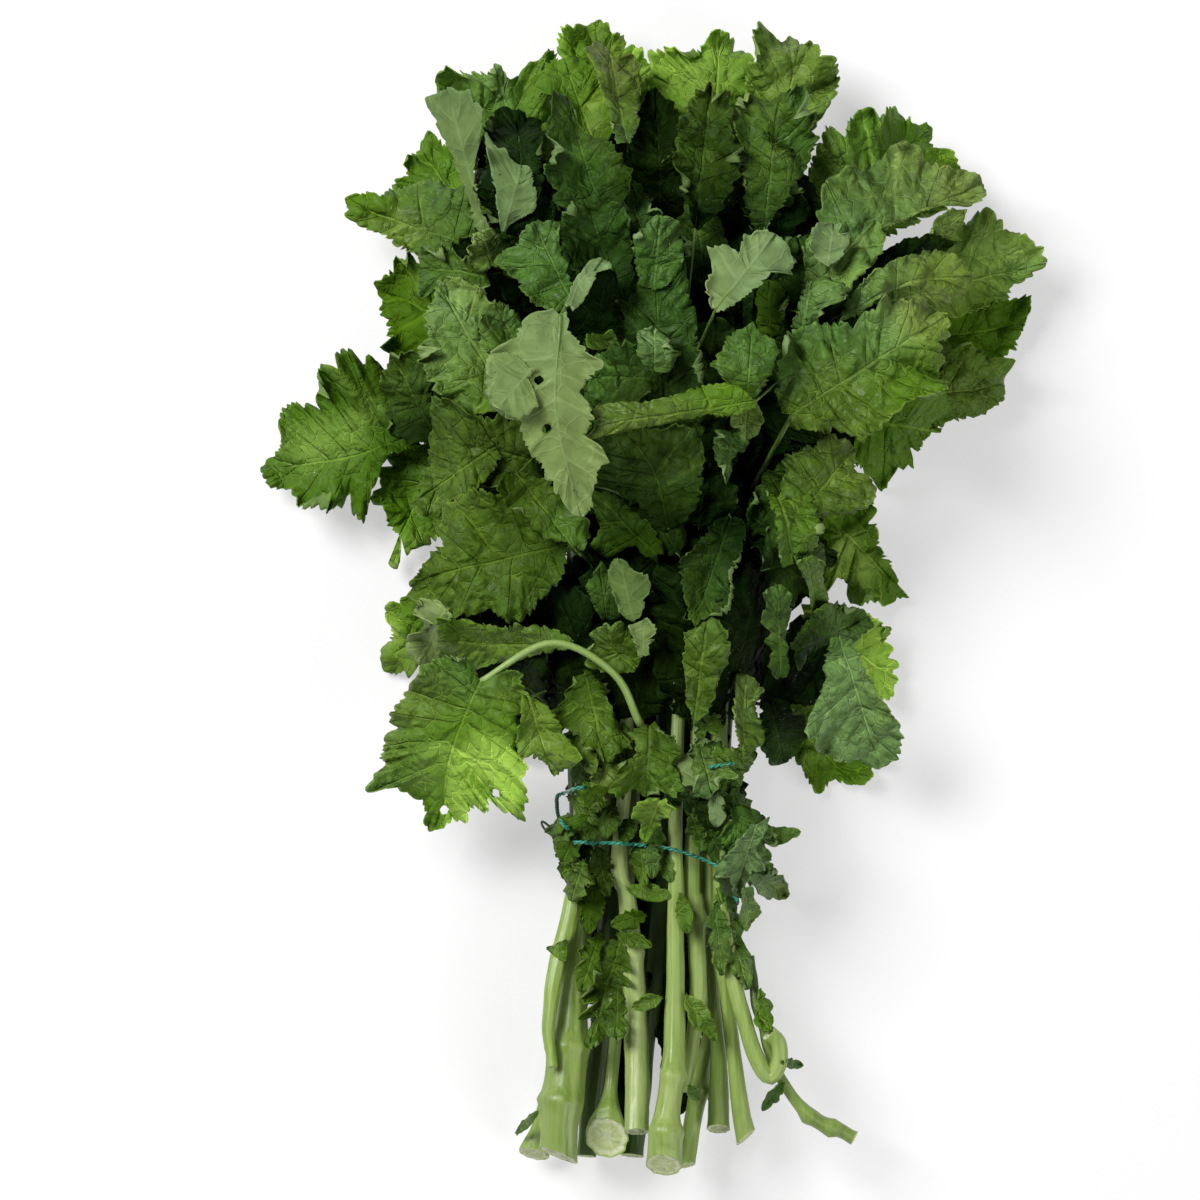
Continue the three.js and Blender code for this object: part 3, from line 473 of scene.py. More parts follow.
        base=(-22, 97), tip=(-18, 124), pale=-1, ruffle=0.4, fold=(-20, -20),
        outline=[(-39, 103), (-33, 108), (-27, 109), (-25, 114), (-23, 121), (-20, 124), (-15, 122),
                 (-14, 117), (-15, 108), (-14, 98), (-22, 96), (-31, 96)],
    ),
    "pale_leaf": dict(
        stem=(-26, 118), base=(-36, 104), tip=(-28, 28), turned=True, bend=-5, ruffle=0.4,
        fold=(0, -10), pale=-0.25,
        holes=[(-44, 79), (-41, 61)],
        outline=[(-34, 108), (-33, 98), (-28, 93), (-25, 88), (-21, 87), (-21, 82), (-27, 79),
                 (-28, 75), (-25, 70), (-24, 65), (-27, 58), (-22, 56), (-20, 52), (-17, 48), (-22, 45),
                 (-23, 38), (-24, 33), (-27, 28), (-31, 29), (-34, 33), (-40, 41), (-46, 50), (-50, 58),
                 (-51, 64), (-57, 65), (-62, 70), (-64, 78), (-64, 87), (-62, 90), (-57, 93), (-52, 99),
                 (-45, 105)],
    ),
    "pale_fold": dict(
        base=(-46, 84), tip=(-60, 68), turned=True, ruffle=0.12, pale=-0.4, fold=(8, -14),
        stemRadius=0.1,
        outline=[(-62, 89), (-56, 90), (-51, 88), (-49, 81), (-46, 75), (-44, 69), (-51, 65), (-58, 66),
                 (-62, 69), (-64, 75), (-64, 83)],
    ),
    "top_curl": dict(
        base=(-32, 107), tip=(-19, 124), turned=True, pale=0.1, ruffle=0.25, fold=(-20, 20), bend=3,
        stemRadius=0.1,
        outline=[(-34, 107), (-31, 117), (-27, 122), (-25, 125), (-22, 127), (-18, 126), (-15, 122),
                 (-16, 119), (-19, 122), (-22, 121), (-23, 117), (-25, 113), (-28, 108), (-31, 105)],
    ),
    "curl_lobe": dict(
        base=(-26, 94), tip=(-15, 96), pale=0.2, ruffle=0.6, glow=0.3, stemRadius=0.1,
        outline=[(-26, 97), (-20, 97), (-16, 99), (-14, 95), (-17, 91), (-22, 90), (-26, 91)],
    ),
    "chin_leaf": dict(
        base=(-2, -51), tip=(-3, -78), glow=0.2, ruffle=1, pale=-0.2,
        outline=[(-10, -54), (-5, -51), (0, -49), (4, -54), (9, -59), (8, -66), (11, -75), (8, -78),
                 (3, -76), (-3, -78), (-8, -75), (-15, -79), (-18, -75), (-13, -70), (-16, -64),
                 (-12, -61), (-7, -63), (-7, -58)],
    ),
    "triangle_leaf": dict(
        base=(17, -58), tip=(22, -78), pale=0.5,
        outline=[(15, -58), (20, -59), (25, -64), (31, -70), (25, -74), (20, -79), (15, -76), (14, -68)],
    ),
    "low_bright_leaf": dict(
        base=(2, -79), tip=(-4, -94), glow=0.8, pale=1,
        outline=[(-7, -80), (-2, -78), (4, -78), (8, -82), (4, -87), (0, -90), (-3, -95), (-6, -92),
                 (-5, -88), (-9, -86)],
    ),
    "tie_side_leaf": dict(
        base=(38, -88), tip=(30, -115), pale=1, ruffle=1.3,
        outline=[(44, -83), (42, -90), (38, -97), (42, -105), (36, -108), (33, -116), (29, -113),
                 (28, -108), (21, -108), (24, -103), (28, -98), (33, -92), (39, -86)],
    ),
    "tie_side_lobe": dict(
        base=(34, -112), tip=(37, -127), glow=0.5, pale=1,
        outline=[(33, -112), (37, -111), (39, -117), (41, -121), (37, -125), (35, -129), (32, -124),
                 (33, -117)],
    ),
}

# Painted shade: near-black leaves inside the bunch, over the tops of the stalks, for the shadow in the
# gaps
innerLeaves = [
    dict(base=(-22, -35), tip=(-70, 25), half=26),
    dict(base=(18, -30), tip=(50, 38), half=20),
    dict(base=(-6, -52), tip=(-10, 40), half=22),
    dict(base=(14, -52), tip=(22, 45), half=20),
    dict(base=(-26, -50), tip=(-44, 10), half=18),
    dict(base=(26, -50), tip=(42, 15), half=15),
    dict(base=(-36, 55), tip=(-72, 140), half=32),
    dict(base=(30, 55), tip=(78, 130), half=32),
    dict(base=(-10, 95), tip=(-14, 180), half=32),
    dict(base=(18, 90), tip=(26, 182), half=30),
    dict(base=(4, 120), tip=(1, 198), half=14),
    dict(base=(38, 105), tip=(54, 164), half=22),
    dict(base=(-40, 105), tip=(-54, 168), half=22),
    dict(base=(8, 25), tip=(20, 112), half=28),
    dict(base=(-10, 25), tip=(-24, 112), half=28),
    dict(base=(48, 72), tip=(88, 98), half=16),
    dict(base=(42, -46), tip=(61, -6), half=10),
    dict(base=(66, 108), tip=(100, 133), half=9),
    dict(base=(-40, -42), tip=(-84, -6), half=18),
]

# The same painted shade under the stalks, where nothing else keeps the light out
underLeaves = [
    dict(base=(-14, -60), tip=(-10, -208), half=15),
    dict(base=(10, -60), tip=(10, -204), half=13),
    dict(base=(24, -70), tip=(24, -190), half=9),
    dict(base=(-22, -80), tip=(-30, -185), half=5),
    dict(base=(0, -110), tip=(4, -30), half=34),
    dict(base=(20, -20), tip=(50, 60), half=30),
    dict(base=(40, 60), tip=(96, 98), half=26),
    dict(base=(-34, -28), tip=(-54, -64), half=12),
]

# Leaflets on the stalks, below the tie and under it
leaflets = [
    dict(
        base=(-33, -132), tip=(-41, -135),
        outline=[(-32, -134), (-36, -133), (-41, -134), (-38, -137), (-33, -140)],
    ),
    dict(base=(-12, -130), tip=(-25, -174), half=9, lobed=2.2, ruffle=1.4, glow=0.1),
    dict(base=(-20, -128), tip=(-28, -152), half=6, lobed=2, ruffle=1.4, pale=-0.3),
    dict(base=(-14, -150), tip=(-14, -172), half=5, lobed=2, ruffle=1.4, glow=0.1),
    dict(base=(-10, -112), tip=(8, -115), half=3.4, pale=0.2, ruffle=0.5),
    dict(base=(-3, -122), tip=(-17, -126), half=4, pale=-0.4, ruffle=0.5),
    dict(base=(-14, -129), tip=(0, -134), half=3, glow=0.15, ruffle=0.5),
    dict(base=(3, -153), tip=(-9, -157), half=3, pale=0.1, ruffle=0.5),
    dict(base=(12, -152), tip=(24, -170), half=4, pale=0.1, ruffle=0.6),
    dict(base=(10, -114), tip=(13, -130), half=3.2, pale=0, ruffle=0.5),
    dict(base=(2, -98), tip=(7, -110), half=3.4, glow=0.2, ruffle=0.7),
    dict(base=(-22, -108), tip=(-25, -130), half=5, pale=-0.6, ruffle=1.3),
    dict(base=(24, -112), tip=(36, -152), half=6, pale=0.3, ruffle=1.3),
    dict(base=(13, -186), tip=(17, -192), half=2.2, pale=0),
    dict(base=(48.5, -185), tip=(40.5, -196), half=2.6, glow=0.2),
    dict(base=(48, -177), tip=(57, -178.5), half=2.0, glow=0.3),
    dict(base=(39, -158), tip=(44, -166), half=3.6, glow=0.5),
    dict(base=(-51.5, -204), tip=(-43, -195), half=1.8, glow=0.2, pale=0.2, ruffle=0.6),
    dict(base=(6, -60), tip=(9, -82), half=6, lobed=2, ruffle=1.2, pale=-0.2, glow=0.1),
    dict(base=(13, -62), tip=(4, -80), half=5, lobed=2, ruffle=1.2, pale=-0.5, glow=0),
    dict(base=(10, -70), tip=(15, -86), half=4.5, lobed=2, ruffle=1.2, pale=0.1, glow=0),
    dict(base=(39, -94), tip=(55, -91), half=3.2, glow=0.5, pale=0.8, ruffle=0.6, over="bud_stalk"),
    dict(base=(40, -150), tip=(44, -166), half=3, lobed=2, ruffle=1.6, glow=0.7),
    dict(base=(-33, -90), tip=(-31, -112), half=5, lobed=2, ruffle=1.4, pale=-0.4, glow=0),
    dict(base=(-26, -92), tip=(-29, -114), half=5, lobed=2, ruffle=1.4, pale=-0.6, glow=0),
    dict(base=(-29, -100), tip=(-33, -110), half=4, lobed=2, ruffle=1.6, glow=0.6),
    dict(base=(-22, -96), tip=(-17, -116), half=5, lobed=2, ruffle=1.4, pale=-0.5, glow=0),
    dict(base=(-6, -90), tip=(-3, -112), half=5, lobed=2, ruffle=1.4, pale=-0.1, glow=0.2),
    dict(base=(1, -86), tip=(-1, -104), half=4.5, lobed=2, ruffle=1.4, pale=-0.3, glow=0),
    dict(base=(14, -84), tip=(19, -99), half=4.5, lobed=2, ruffle=1.4, pale=-0.1, glow=0.3),
    dict(base=(20, -90), tip=(29, -106), half=6, lobed=2, ruffle=1.4, pale=-0.2, glow=0.1),
    dict(base=(26, -100), tip=(30, -122), half=5, lobed=2, ruffle=1.2, pale=0.1, glow=0),
    dict(base=(23, -118), tip=(26, -146), half=5, lobed=1.5, ruffle=1.0, pale=0.2, glow=0),
]

# Stalks in mm, from the cut end: the places they pass and their radii, evenly spaced along them
#   facing: degrees that the cut is turned up and to the right      pale: -1 painted shade, dark green deep in the bunch, to 1 whitish
#   head: how much wider it is at the cut, and within how far      lift: mm above its solid
#   scars: where leaves have come off, as a share of the length
stalks = {
    "under_stalk_1": dict(points=[(-34, -192), (-27, -95), (-30, 30)], radii=(5, 5, 3), pale=-0.9),
    "under_stalk_2": dict(points=[(-25, -213), (-14, -95), (-12, 50)], radii=(3.6, 5.5, 3), pale=-0.9),
    "under_stalk_3": dict(points=[(-8, -213), (4, -95), (8, 60)], radii=(4.5, 5, 3), pale=-1),
    "under_stalk_4": dict(points=[(25, -192), (23, -95), (34, 15)], radii=(4, 4.5, 3), pale=-0.9),
    "short_stalk": dict(
        points=[(-45, -212), (-39, -190), (-30, -140), (-20, -95), (-18, 20)],
        radii=(3.4, 3.4, 3.6, 3.4, 3), head=(2.3, 8), facing=(30, 0), pale=(-0.1, -0.6, -0.8),
    ),
    "round_cut_stalk": dict(
        points=[(-17.5, -205), (-17, -195), (-14, -165), (-8, -95), (-4, 40)],
        radii=(2.4, 2.4, 2.6, 3, 3), head=(5.6, 10), facing=(58, -5), pale=(0, -0.6, -0.9),
    ),
    "right_stalk_1": dict(
        points=[(12.5, -216), (15, -200), (18.5, -180), (21.5, -163), (21.5, -140), (16, 30)],
        radii=(3.4, 3.1, 1.8, 1.8, 2, 2, 2), facing=(15, 20), scars=(0.12,), pale=0,
    ),
    "right_stalk_2": dict(
        points=[(24.5, -202), (24.5, -190), (24, -165), (19, -95), (26, 20)],
        radii=(4.3, 2.3, 1.8, 2, 2.2, 2.2), facing=(25, 0), pale=-0.3,
    ),
    "right_stalk_3": dict(
        points=[(34.5, -205), (32, -190), (27.5, -158), (21, -95), (32, 30)],
        radii=(3.7, 2.4, 2, 2, 2.2, 2.2), facing=(25, 35), pale=-0.2,
    ),
    "broad_stalk": dict(
        points=[(11.5, -188), (14, -173), (16.6, -150), (15.6, -118), (14.5, -100), (20, 30)],
        radii=(2.2, 3.4, 3.3, 2.6, 2.6, 2.6, 2.6), pale=0.2, scars=(0.3,),
    ),
    "thick_stalk": dict(
        points=[(-35.5, -211), (-33.5, -190), (-32, -172), (-27.5, -120), (-20, -95), (-12, 30)],
        radii=(7.3, 7.7, 3, 2.6, 2.6, 2.6, 2.6), facing=(20, -22), scars=(0.08, 0.165), pale=-0.3,
    ),
    "side_stalk": dict(
        points=[(-37.5, -178), (-39, -166), (-38, -157), (-35, -137), (-28, -95), (-26, 20)],
        radii=(1.8, 3.6, 2.8, 2.4, 2.4, 2.4), pale=0,
    ),
    "middle_stalk": dict(
        points=[(-6.5, -202), (-5.8, -178), (-7.3, -150), (-10.5, -115), (-12.5, -95), (-4, 20)],
        radii=(4.6, 4.6, 3.9, 2.7, 2.6, 2.6, 2.6), scars=(0.3,), pale=0.4,
    ),
    "front_stalk": dict(
        points=[(3.5, -214), (5, -199), (7, -175), (7.9, -150), (8, -100), (12, 20)],
        radii=(4.7, 4.2, 3.4, 2.7, 2.6, 2.6, 2.6), head=(1.8, 16), facing=(40, -5), scars=(0.055, 0.14),
        pale=0.2,
    ),
    "folded_stalk": dict(
        points=[(42.5, -165.5), (46.3, -169), (46.8, -176), (43, -182), (38.3, -175), (33.5, -162),
                (29.5, -145), (24, -95), (28, 0)],
        radii=(3.1, 3.1, 2.9, 2.4, 2.4, 2.4, 2.4), pale=(0.2, 0.2, -0.2), lift=5.5,
    ),
    "stray_stalk": dict(
        points=[(75, -205), (60, -197.5), (53, -191), (47, -181), (39, -160), (36, -137)],
        radii=(2.5, 2.1, 2, 1.8, 1.8), facing=(20, 0), scars=(0.12, 0.24), pale=-0.3, lift=-8,
    ),
}


# Lines, as rows of points in mm
def lengthsAlong(line):
    return np.concatenate([[0], np.cumsum(np.linalg.norm(np.diff(line, axis=0), axis=1))])


def lineLength(line):
    return np.linalg.norm(np.diff(line, axis=0), axis=1).sum()


# evenly spaced points on a smooth curve through the points given
def smoothLine(points, count):
    points = np.asarray(points, float)
    ends = np.vstack([2 * points[0] - points[1], points, 2 * points[-1] - points[-2]])
    t = np.linspace(0, 1, 40, endpoint=False)[:, None]
    line = []
    for a, b, c, d in zip(ends, ends[1:], ends[2:], ends[3:]):
        slope, curve, twist = c - a, 2 * a - 5 * b + 4 * c - d, 3 * b - a - 3 * c + d
        line.append(0.5 * (2 * b + slope * t + curve * t**2 + twist * t**3))
    line = np.vstack(line + [points[-1:]])
    lengths = lengthsAlong(line)
    wanted = np.linspace(0, lengths[-1], count)
    return np.column_stack([np.interp(wanted, lengths, axis) for axis in line.T])


def unit(vectors):
    return vectors / np.maximum(np.linalg.norm(vectors, axis=-1, keepdims=True), 1e-9)


# the way a line goes at each of its points
def directions(line):
    return unit(np.gradient(line, axis=0))


# level, and to the right of the way a line goes
def toRight(along):
    return unit(np.column_stack([along[:, 1], -along[:, 0], np.zeros(len(along))]))


# a smooth random wave along t, about -1 to 1
def wobble(rng, t, waves):
    total = np.zeros_like(t)
    for k in range(4):
        total = total + np.sin(2 * np.pi * (waves * (0.6 + 0.5 * k) * t + rng.random())) / (1 + 0.6 * k)
    return total / 1.7


# each value of a row averaged with those within reach of it
def evened(values, reach):
    window = np.ones(2 * reach + 1) / (2 * reach + 1)
    return np.convolve(np.pad(values, reach, mode="edge"), window, mode="valid")


# each value averaged with its neighbours, down the rows and across them
def blurred(values, times=1):
    for _ in range(times):
        wide = np.pad(values, 1, mode="edge")
        values = (wide[:-2] + 2 * wide[1:-1] + wide[2:])[:, 1:-1] / 4
        wide = np.pad(values, 1, mode="edge")
        values = (wide[:, :-2] + 2 * wide[:, 1:-1] + wide[:, 2:])[1:-1] / 4
    return values


# The pile: how high the bunch already reaches over each small square of the floor, in mm
pileCell = 1.5
pileHalf = (190, 250)  # from its middle to its sides
pile = np.zeros(tuple(int(2 * half / pileCell) for half in pileHalf))


def pilePlaces(x, y):
    column = np.clip(((x + pileHalf[0]) / pileCell).astype(int), 0, pile.shape[0] - 1)
    row = np.clip(((y + pileHalf[1]) / pileCell).astype(int), 0, pile.shape[1] - 1)
    return column, row


def raisePile(points):
    x, y, z = points.reshape(-1, 3).T
    np.maximum.at(pile, pilePlaces(x, y), z)


# the pile as something soft feels it: spread by some squares, then smoothed
def softPile(spread, smooth):
    high = pile
    for _ in range(spread):
        high = np.maximum(high, np.maximum(np.roll(high, 1, 0), np.roll(high, -1, 0)))
        high = np.maximum(high, np.maximum(np.roll(high, 1, 1), np.roll(high, -1, 1)))
    waveX = np.fft.fftfreq(pile.shape[0])[:, None]
    waveY = np.fft.rfftfreq(pile.shape[1])[None]
    soften = np.exp(-2 * (np.pi * smooth) ** 2 * (waveX**2 + waveY**2))
    return np.fft.irfft2(np.fft.rfft2(high) * soften, s=pile.shape)


# The solids of the frame
nodeTrees = {}
farAbove, farBelow = 400, -50  # mm


def nodeTree(name):
    if name not in nodeTrees:
        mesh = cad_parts[name].data
        points = [v.co / mm for v in mesh.vertices]
        nodeTrees[name] = BVHTree.FromPolygons(points, [tuple(p.vertices) for p in mesh.polygons])
    return nodeTrees[name]


# the height of the middle of a node's solid over each place, and beside it the height of its edge
def nodeHeights(name, x, y):
    tree = nodeTree(name)
    heights = np.empty(x.size)
    last = 50.0
    for k, (px, py) in enumerate(zip(x.ravel(), y.ravel())):
        top = tree.ray_cast(Vector((px, py, farAbove)), Vector((0, 0, -1)))[0]
        if top is None:
            last = tree.find_nearest(Vector((px, py, last)))[0].z
        else:
            low = tree.ray_cast(Vector((px, py, farBelow)), Vector((0, 0, 1)))[0]
            last = (top.z + low.z) / 2
        heights[k] = last
    return heights.reshape(x.shape)


# Meshes
def gridFaces(rows, columns, first=0, flip=False, closed=False):
    faces = []
    for i in range(rows - 1):
        for j in range(columns if closed else columns - 1):
            k = (j + 1) % columns
            quad = (i * columns + j, i * columns + k, (i + 1) * columns + k, (i + 1) * columns + j)
            quad = tuple(first + q for q in quad)
            faces.append(quad[::-1] if flip else quad)
    return faces


class Shape:
    # points in mm, faces, and what the materials read at each point
    def __init__(self):
        self.points, self.faces, self.materials = [], [], []
        self.places, self.glows, self.pales = [], [], []
        self.count = 0

    def add(self, points, faces, material, places, glow=0.0, pale=0.0):
        self.addFaces([tuple(self.count + k for k in face) for face in faces], material)
        self.points.append(points)
        self.places.append(places)
        self.glows.append(np.broadcast_to(glow, len(points)))
        self.pales.append(np.broadcast_to(pale, len(points)))
        self.count += len(points)

    def addFaces(self, faces, material):
        self.faces += faces
        self.materials += [material] * len(faces)

    # the points that no face uses go, such as those inside a hole
    def dropLoose(self):
        used = np.zeros(self.count, bool)
        for face in self.faces:
            used[list(face)] = True
        self.points, self.places = np.vstack(self.points)[used], np.vstack(self.places)[used]
        self.glows, self.pales = np.concatenate(self.glows)[used], np.concatenate(self.pales)[used]
        if not used.all():
            number = np.cumsum(used) - 1
            self.faces = [tuple(int(number[k]) for k in face) for face in self.faces]

    def build(self, name, materials, nodes=()):
        self.dropLoose()
        mesh = bpy.data.meshes.new(name)
        mesh.from_pydata((self.points * mm).tolist(), [], self.faces)
        place = mesh.attributes.new("place", "FLOAT_VECTOR", "POINT")
        place.data.foreach_set("vector", self.places.astype(np.float32).ravel())
        for kind, values in (("glow", self.glows), ("pale", self.pales)):
            attribute = mesh.attributes.new(kind, "FLOAT", "POINT")
            attribute.data.foreach_set("value", values.astype(np.float32))
        for material in materials:
            mesh.materials.append(material)
        mesh.polygons.foreach_set("material_index", self.materials)
        mesh.polygons.foreach_set("use_smooth", [True] * len(self.faces))
        mesh.update()
        piece = bpy.data.objects.new(name, mesh)
        bpy.context.scene.collection.objects.link(piece)
        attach(piece, "root")
        if nodes:
            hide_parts(*nodes)
        return piece


# a round rod along a line; the radius may differ at each point of the line and round it
def tube(line, radii, sides, endCaps=True):
    along = directions(line)
    right = toRight(along)
    up = np.cross(right, along)
    angles = 2 * np.pi * np.arange(sides) / sides
    radii = np.asarray(radii, float)
    radii = radii[:, None] * np.ones(sides) if radii.ndim == 1 else radii
    across = np.cos(angles)[None, :, None] * right[:, None] + np.sin(angles)[None, :, None] * up[:, None]
    points = line[:, None] + across * radii[..., None]
    faces = gridFaces(len(line), sides, closed=True)
    if endCaps:
        last = (len(line) - 1) * sides
        faces.append(tuple(range(sides - 1, -1, -1)))
        faces.append(tuple(last + k for k in range(sides)))
    return points.reshape(-1, 3), faces


# Leaves
leafLook = dict(
    step=0.9,  # mm between points along the margin
    rowLimits=(12, 135),
    columnWidth=1.9,
    columnLimits=(3, 11),
    thickness=0.45,
    ribShare=0.86,  # how far along the blade the midrib goes before its last veins fan out
    veinShares=(0, 0.15, 0.5, 0.85, 1),
    veinAngles=(135, 92, 62, 36, 0),  # degrees of the side veins from the midrib, at those shares of it
    lobeLength=17.0,
    lobeDepth=0.3,  # a share of the width
    toothLength=4.2,
    toothDepth=2.8,
    plainEnds=5,  # mm of the margin at the base and the tip
    leastWidth=0.6,
    fold=(-12, 34),  # degrees, where a leaf doesn't say
    waveLength=32.0,
    waveAngle=50,
    crimpLength=10.0,
    crimpAngle=42,
    rollAngle=210,
    crumple=3.2,  # mm that the whole blade swells and sinks
    quilting=1.5,
    holeSize=1.8,
    paintedBaseShade=0.5,  # painted shade: how much darker the green is at the base, deep in the bunch
    layOn=(3, 3.5),  # how far the pile is spread and smoothed under a blade that has no solid
    restOn=(1, 1.3),  # and under every blade, which stays clear of it
    layGap=1.2,
    restGap=(0.5, 0.4),  # where the blade is lifted softly, and the least there is anywhere
    floorGap=0.6,
    softness=(6, 3),  # times the height of the blade and its lift are evened out
)
petioleLook = dict(sides=8, points=25, depth=14, radius=0.12, radiusByWidth=0.028, tipRadius=0.2)

# The places of the leaves are as they look from above and near by, where high leaves look further out.
lookDown = dict(
    tilt=math.radians(4),  # off the vertical
    away=1640,  # mm
    low=15,  # mm, the height of a leaf that is right as it stands
    share=0.8,  # how much of the change is made
)


# the same leaf where it is, not where it looks to be from above
def putRight(leaf, node):
    look = lookDown
    tilt = np.array([0, math.tan(look["tilt"])])
    leaf = dict(leaf)
    ends = np.array([leaf["base"], leaf["tip"]], float)
    x, y = (ends + bunchShift).T
    high = nodeHeights(node, x, y) if node else softPile(*leafLook["layOn"])[pilePlaces(x, y)]
    chord = ends[1] - ends[0]
    for key in ("base", "tip", "outline", "holes"):
        if key in leaf:
            places = np.array(leaf[key], float)
            share = np.clip((places - ends[0]) @ chord / (chord @ chord), 0, 1)
            over = (look["share"] * (high[0] + (high[1] - high[0]) * share - look["low"]))[..., None]
            leaf[key] = places - places * over / look["away"] - over * tilt
    return leaf


def midribLine(leaf):
    base, tip = leaf["base"], leaf["tip"]
    chord = (tip - base) / np.linalg.norm(tip - base)
    middle = (base + tip) / 2 + leaf.get("bend", 0) * np.array([-chord[1], chord[0]])
    return smoothLine(np.array([base, middle, tip]) + bunchShift, 160)


# a leaf pointed at both ends, for one that has no outline of its own
def plainOutline(base, tip, half):
    length = np.linalg.norm(tip - base)
    forward = (tip - base) / length
    left = np.array([-forward[1], forward[0]])
    t = np.linspace(0, 1, 22)[1:-1]
    width = half * np.sin(np.pi * t**0.85) ** 0.8
    x = length * np.concatenate([t, t[::-1]])
    y = np.concatenate([-width, width[::-1]])
    return base + x[:, None] * forward + y[:, None] * left


# how far each row of the blade reaches, from its start the way it goes, before it leaves the outline
def rowReach(start, way, outline):
    after = np.roll(outline, -1, axis=0) - outline
    gap = outline[None] - start[:, None]
    cross = way[:, None, 0] * after[None, :, 1] - way[:, None, 1] * after[None, :, 0]
    cross = np.where(np.abs(cross) < 1e-9, 1e-9, cross)
    reach = (gap[..., 0] * after[None, :, 1] - gap[..., 1] * after[None, :, 0]) / cross
    share = (gap[..., 0] * way[:, None, 1] - gap[..., 1] * way[:, None, 0]) / cross
    hit = (share >= 0) & (share < 1) & (reach > 0)
    reaches = np.sort(np.where(hit, reach, np.inf), axis=1)
    inside = hit.sum(axis=1) % 2 == 1
    reach = np.where(inside, reaches[:, 0], reaches[:, 1])
    return np.where(np.isfinite(reach), reach, 0.8)


# the way each row goes, on one side of the midrib
def rowWay(rows, side):
    cos, sin = np.cos(rows["angle"])[:, None], np.sin(rows["angle"])[:, None]
    return rows["along"] * cos + side * rows["right"] * sin


# The rows of a blade fan out from the midrib as its side veins do:
#   centre: where each starts      along, right: the midrib's way there      angle: away from the midrib
#   margin: how far along the margin it ends      reach: how long it is on the left (-1) and right (1)
def bladeRows(leaf, midrib):
    look = leafLook
    if "outline" in leaf:
        outline = np.array(leaf["outline"], float) + bunchShift
    else:
        outline = plainOutline(midrib[0], midrib[-1], leaf["half"])
    dense = smoothLine(midrib, 400)
    t = np.linspace(0, 1, 160)
    spot = t * look["ribShare"] * (len(dense) - 1)
    centre = np.column_stack([np.interp(spot, np.arange(len(dense)), axis) for axis in dense.T])
    along = directions(dense)[spot.astype(int)]
    right = np.column_stack([along[:, 1], -along[:, 0]])
    angle = np.radians(np.interp(t, look["veinShares"], look["veinAngles"]))
    rows = dict(centre=centre, along=along, right=right, angle=angle)
    reaches, margins = {}, []
    for side in (-1, 1):
        way = rowWay(rows, side)
        reach = rowReach(centre, way, outline)
        reach = np.convolve(np.pad(reach, 1, mode="edge"), (0.25, 0.5, 0.25), mode="valid")
        stretch = np.linalg.norm(np.diff(centre + way * reach[:, None], axis=0), axis=1)
        margins.append(np.concatenate([[0], np.cumsum(np.minimum(stretch, 5))]))
        reaches[side] = reach
    half = np.percentile(list(reaches.values()), 85)
    # and again, as many as the margin needs and evenly spaced along it
    margin = (margins[0] + margins[1]) / 2
    count = int(np.clip(margin[-1] / leaf.get("step", look["step"]), *look["rowLimits"]))
    wanted = np.linspace(0, margin[-1], count)
    for key in ("centre", "along", "right"):
        rows[key] = np.column_stack([np.interp(wanted, margin, axis) for axis in rows[key].T])
    rows["angle"] = np.interp(wanted, margin, angle)
    rows["reach"] = {side: np.interp(wanted, margin, reach) for side, reach in reaches.items()}
    rows["margin"] = wanted
    rows["half"] = half
    return rows


# how wide one side of a blade is at each row, with its lobes and teeth, and where it is among the lobes
def sideWidth(rng, leaf, rows, side):
    look = leafLook
    margin, half = rows["margin"], rows["half"]
    far = margin / margin[-1]
    lobes = max(3, round(margin[-1] / look["lobeLength"]))
    phase = lobes * far + 0.5 * wobble(rng, far, 1.5)
    notch = (1 - np.abs(np.sin(np.pi * phase))) ** (1.2 if "lobed" in leaf else 1.8)
    depth = look["lobeDepth"] * (0.4 if "outline" in leaf else 1) * leaf.get("lobed", 1)
    depth = depth * (1 + 0.6 * wobble(rng, far, 2))
    saw = np.abs(2 * ((margin / look["toothLength"] + 1.2 * wobble(rng, far, 4)) % 1) - 1)
    tooth = look["toothDepth"] * (0.1 + 0.9 * min(1, half / 18))
    tooth = tooth * np.clip(0.7 + 0.5 * wobble(rng, far, 5), 0.1, 1.5)
    # neither at the base nor at the tip
    ends = np.clip(np.minimum(margin, margin[-1] - margin) / look["plainEnds"], 0, 1)
    width = rows["reach"][side] * (1 - depth * notch * ends) + tooth * (0.5 - saw**1.8) * ends
    return np.maximum(width, look["leastWidth"]), phase


# the slope of one side at each point, outward from the midrib
def sideSlope(rng, leaf, rows, side, edge):
    look = leafLook
    margin, half = rows["margin"], rows["half"]
    far = margin / margin[-1]
    folds = (rng.uniform(*look["fold"]), rng.uniform(*look["fold"]))
    fold = leaf.get("fold", folds)[0 if side < 0 else 1]
    ruffle = leaf.get("ruffle", 1)
    slope = fold * (0.4 + 0.6 * edge[None]) + np.zeros((len(far), 1))
    wave = wobble(rng, far, max(1.0, margin[-1] / look["waveLength"]))[:, None]
    slope = slope + ruffle * look["waveAngle"] * wave * edge[None] ** 1.3
    crimp = wobble(rng, far, margin[-1] / look["crimpLength"])[:, None]
    slope = slope + ruffle * look["crimpAngle"] * min(1, half / 8) * crimp * edge[None] ** 2.5
    # the margin rolls up here and there
    roll = look["rollAngle"] * np.clip(wobble(rng, far, 2.2) - 0.3, 0, 1) * ruffle
    for curlSide, start, end, degrees in leaf.get("curls", ()):
        if curlSide == side:
            away = (far - (start + end) / 2) / (end - start) * 2
            roll = np.maximum(roll, degrees * np.exp(-(away**4)))
    return np.radians(slope + roll[:, None] * np.clip((edge[None] - 0.6) / 0.4, 0, 1) ** 1.3)


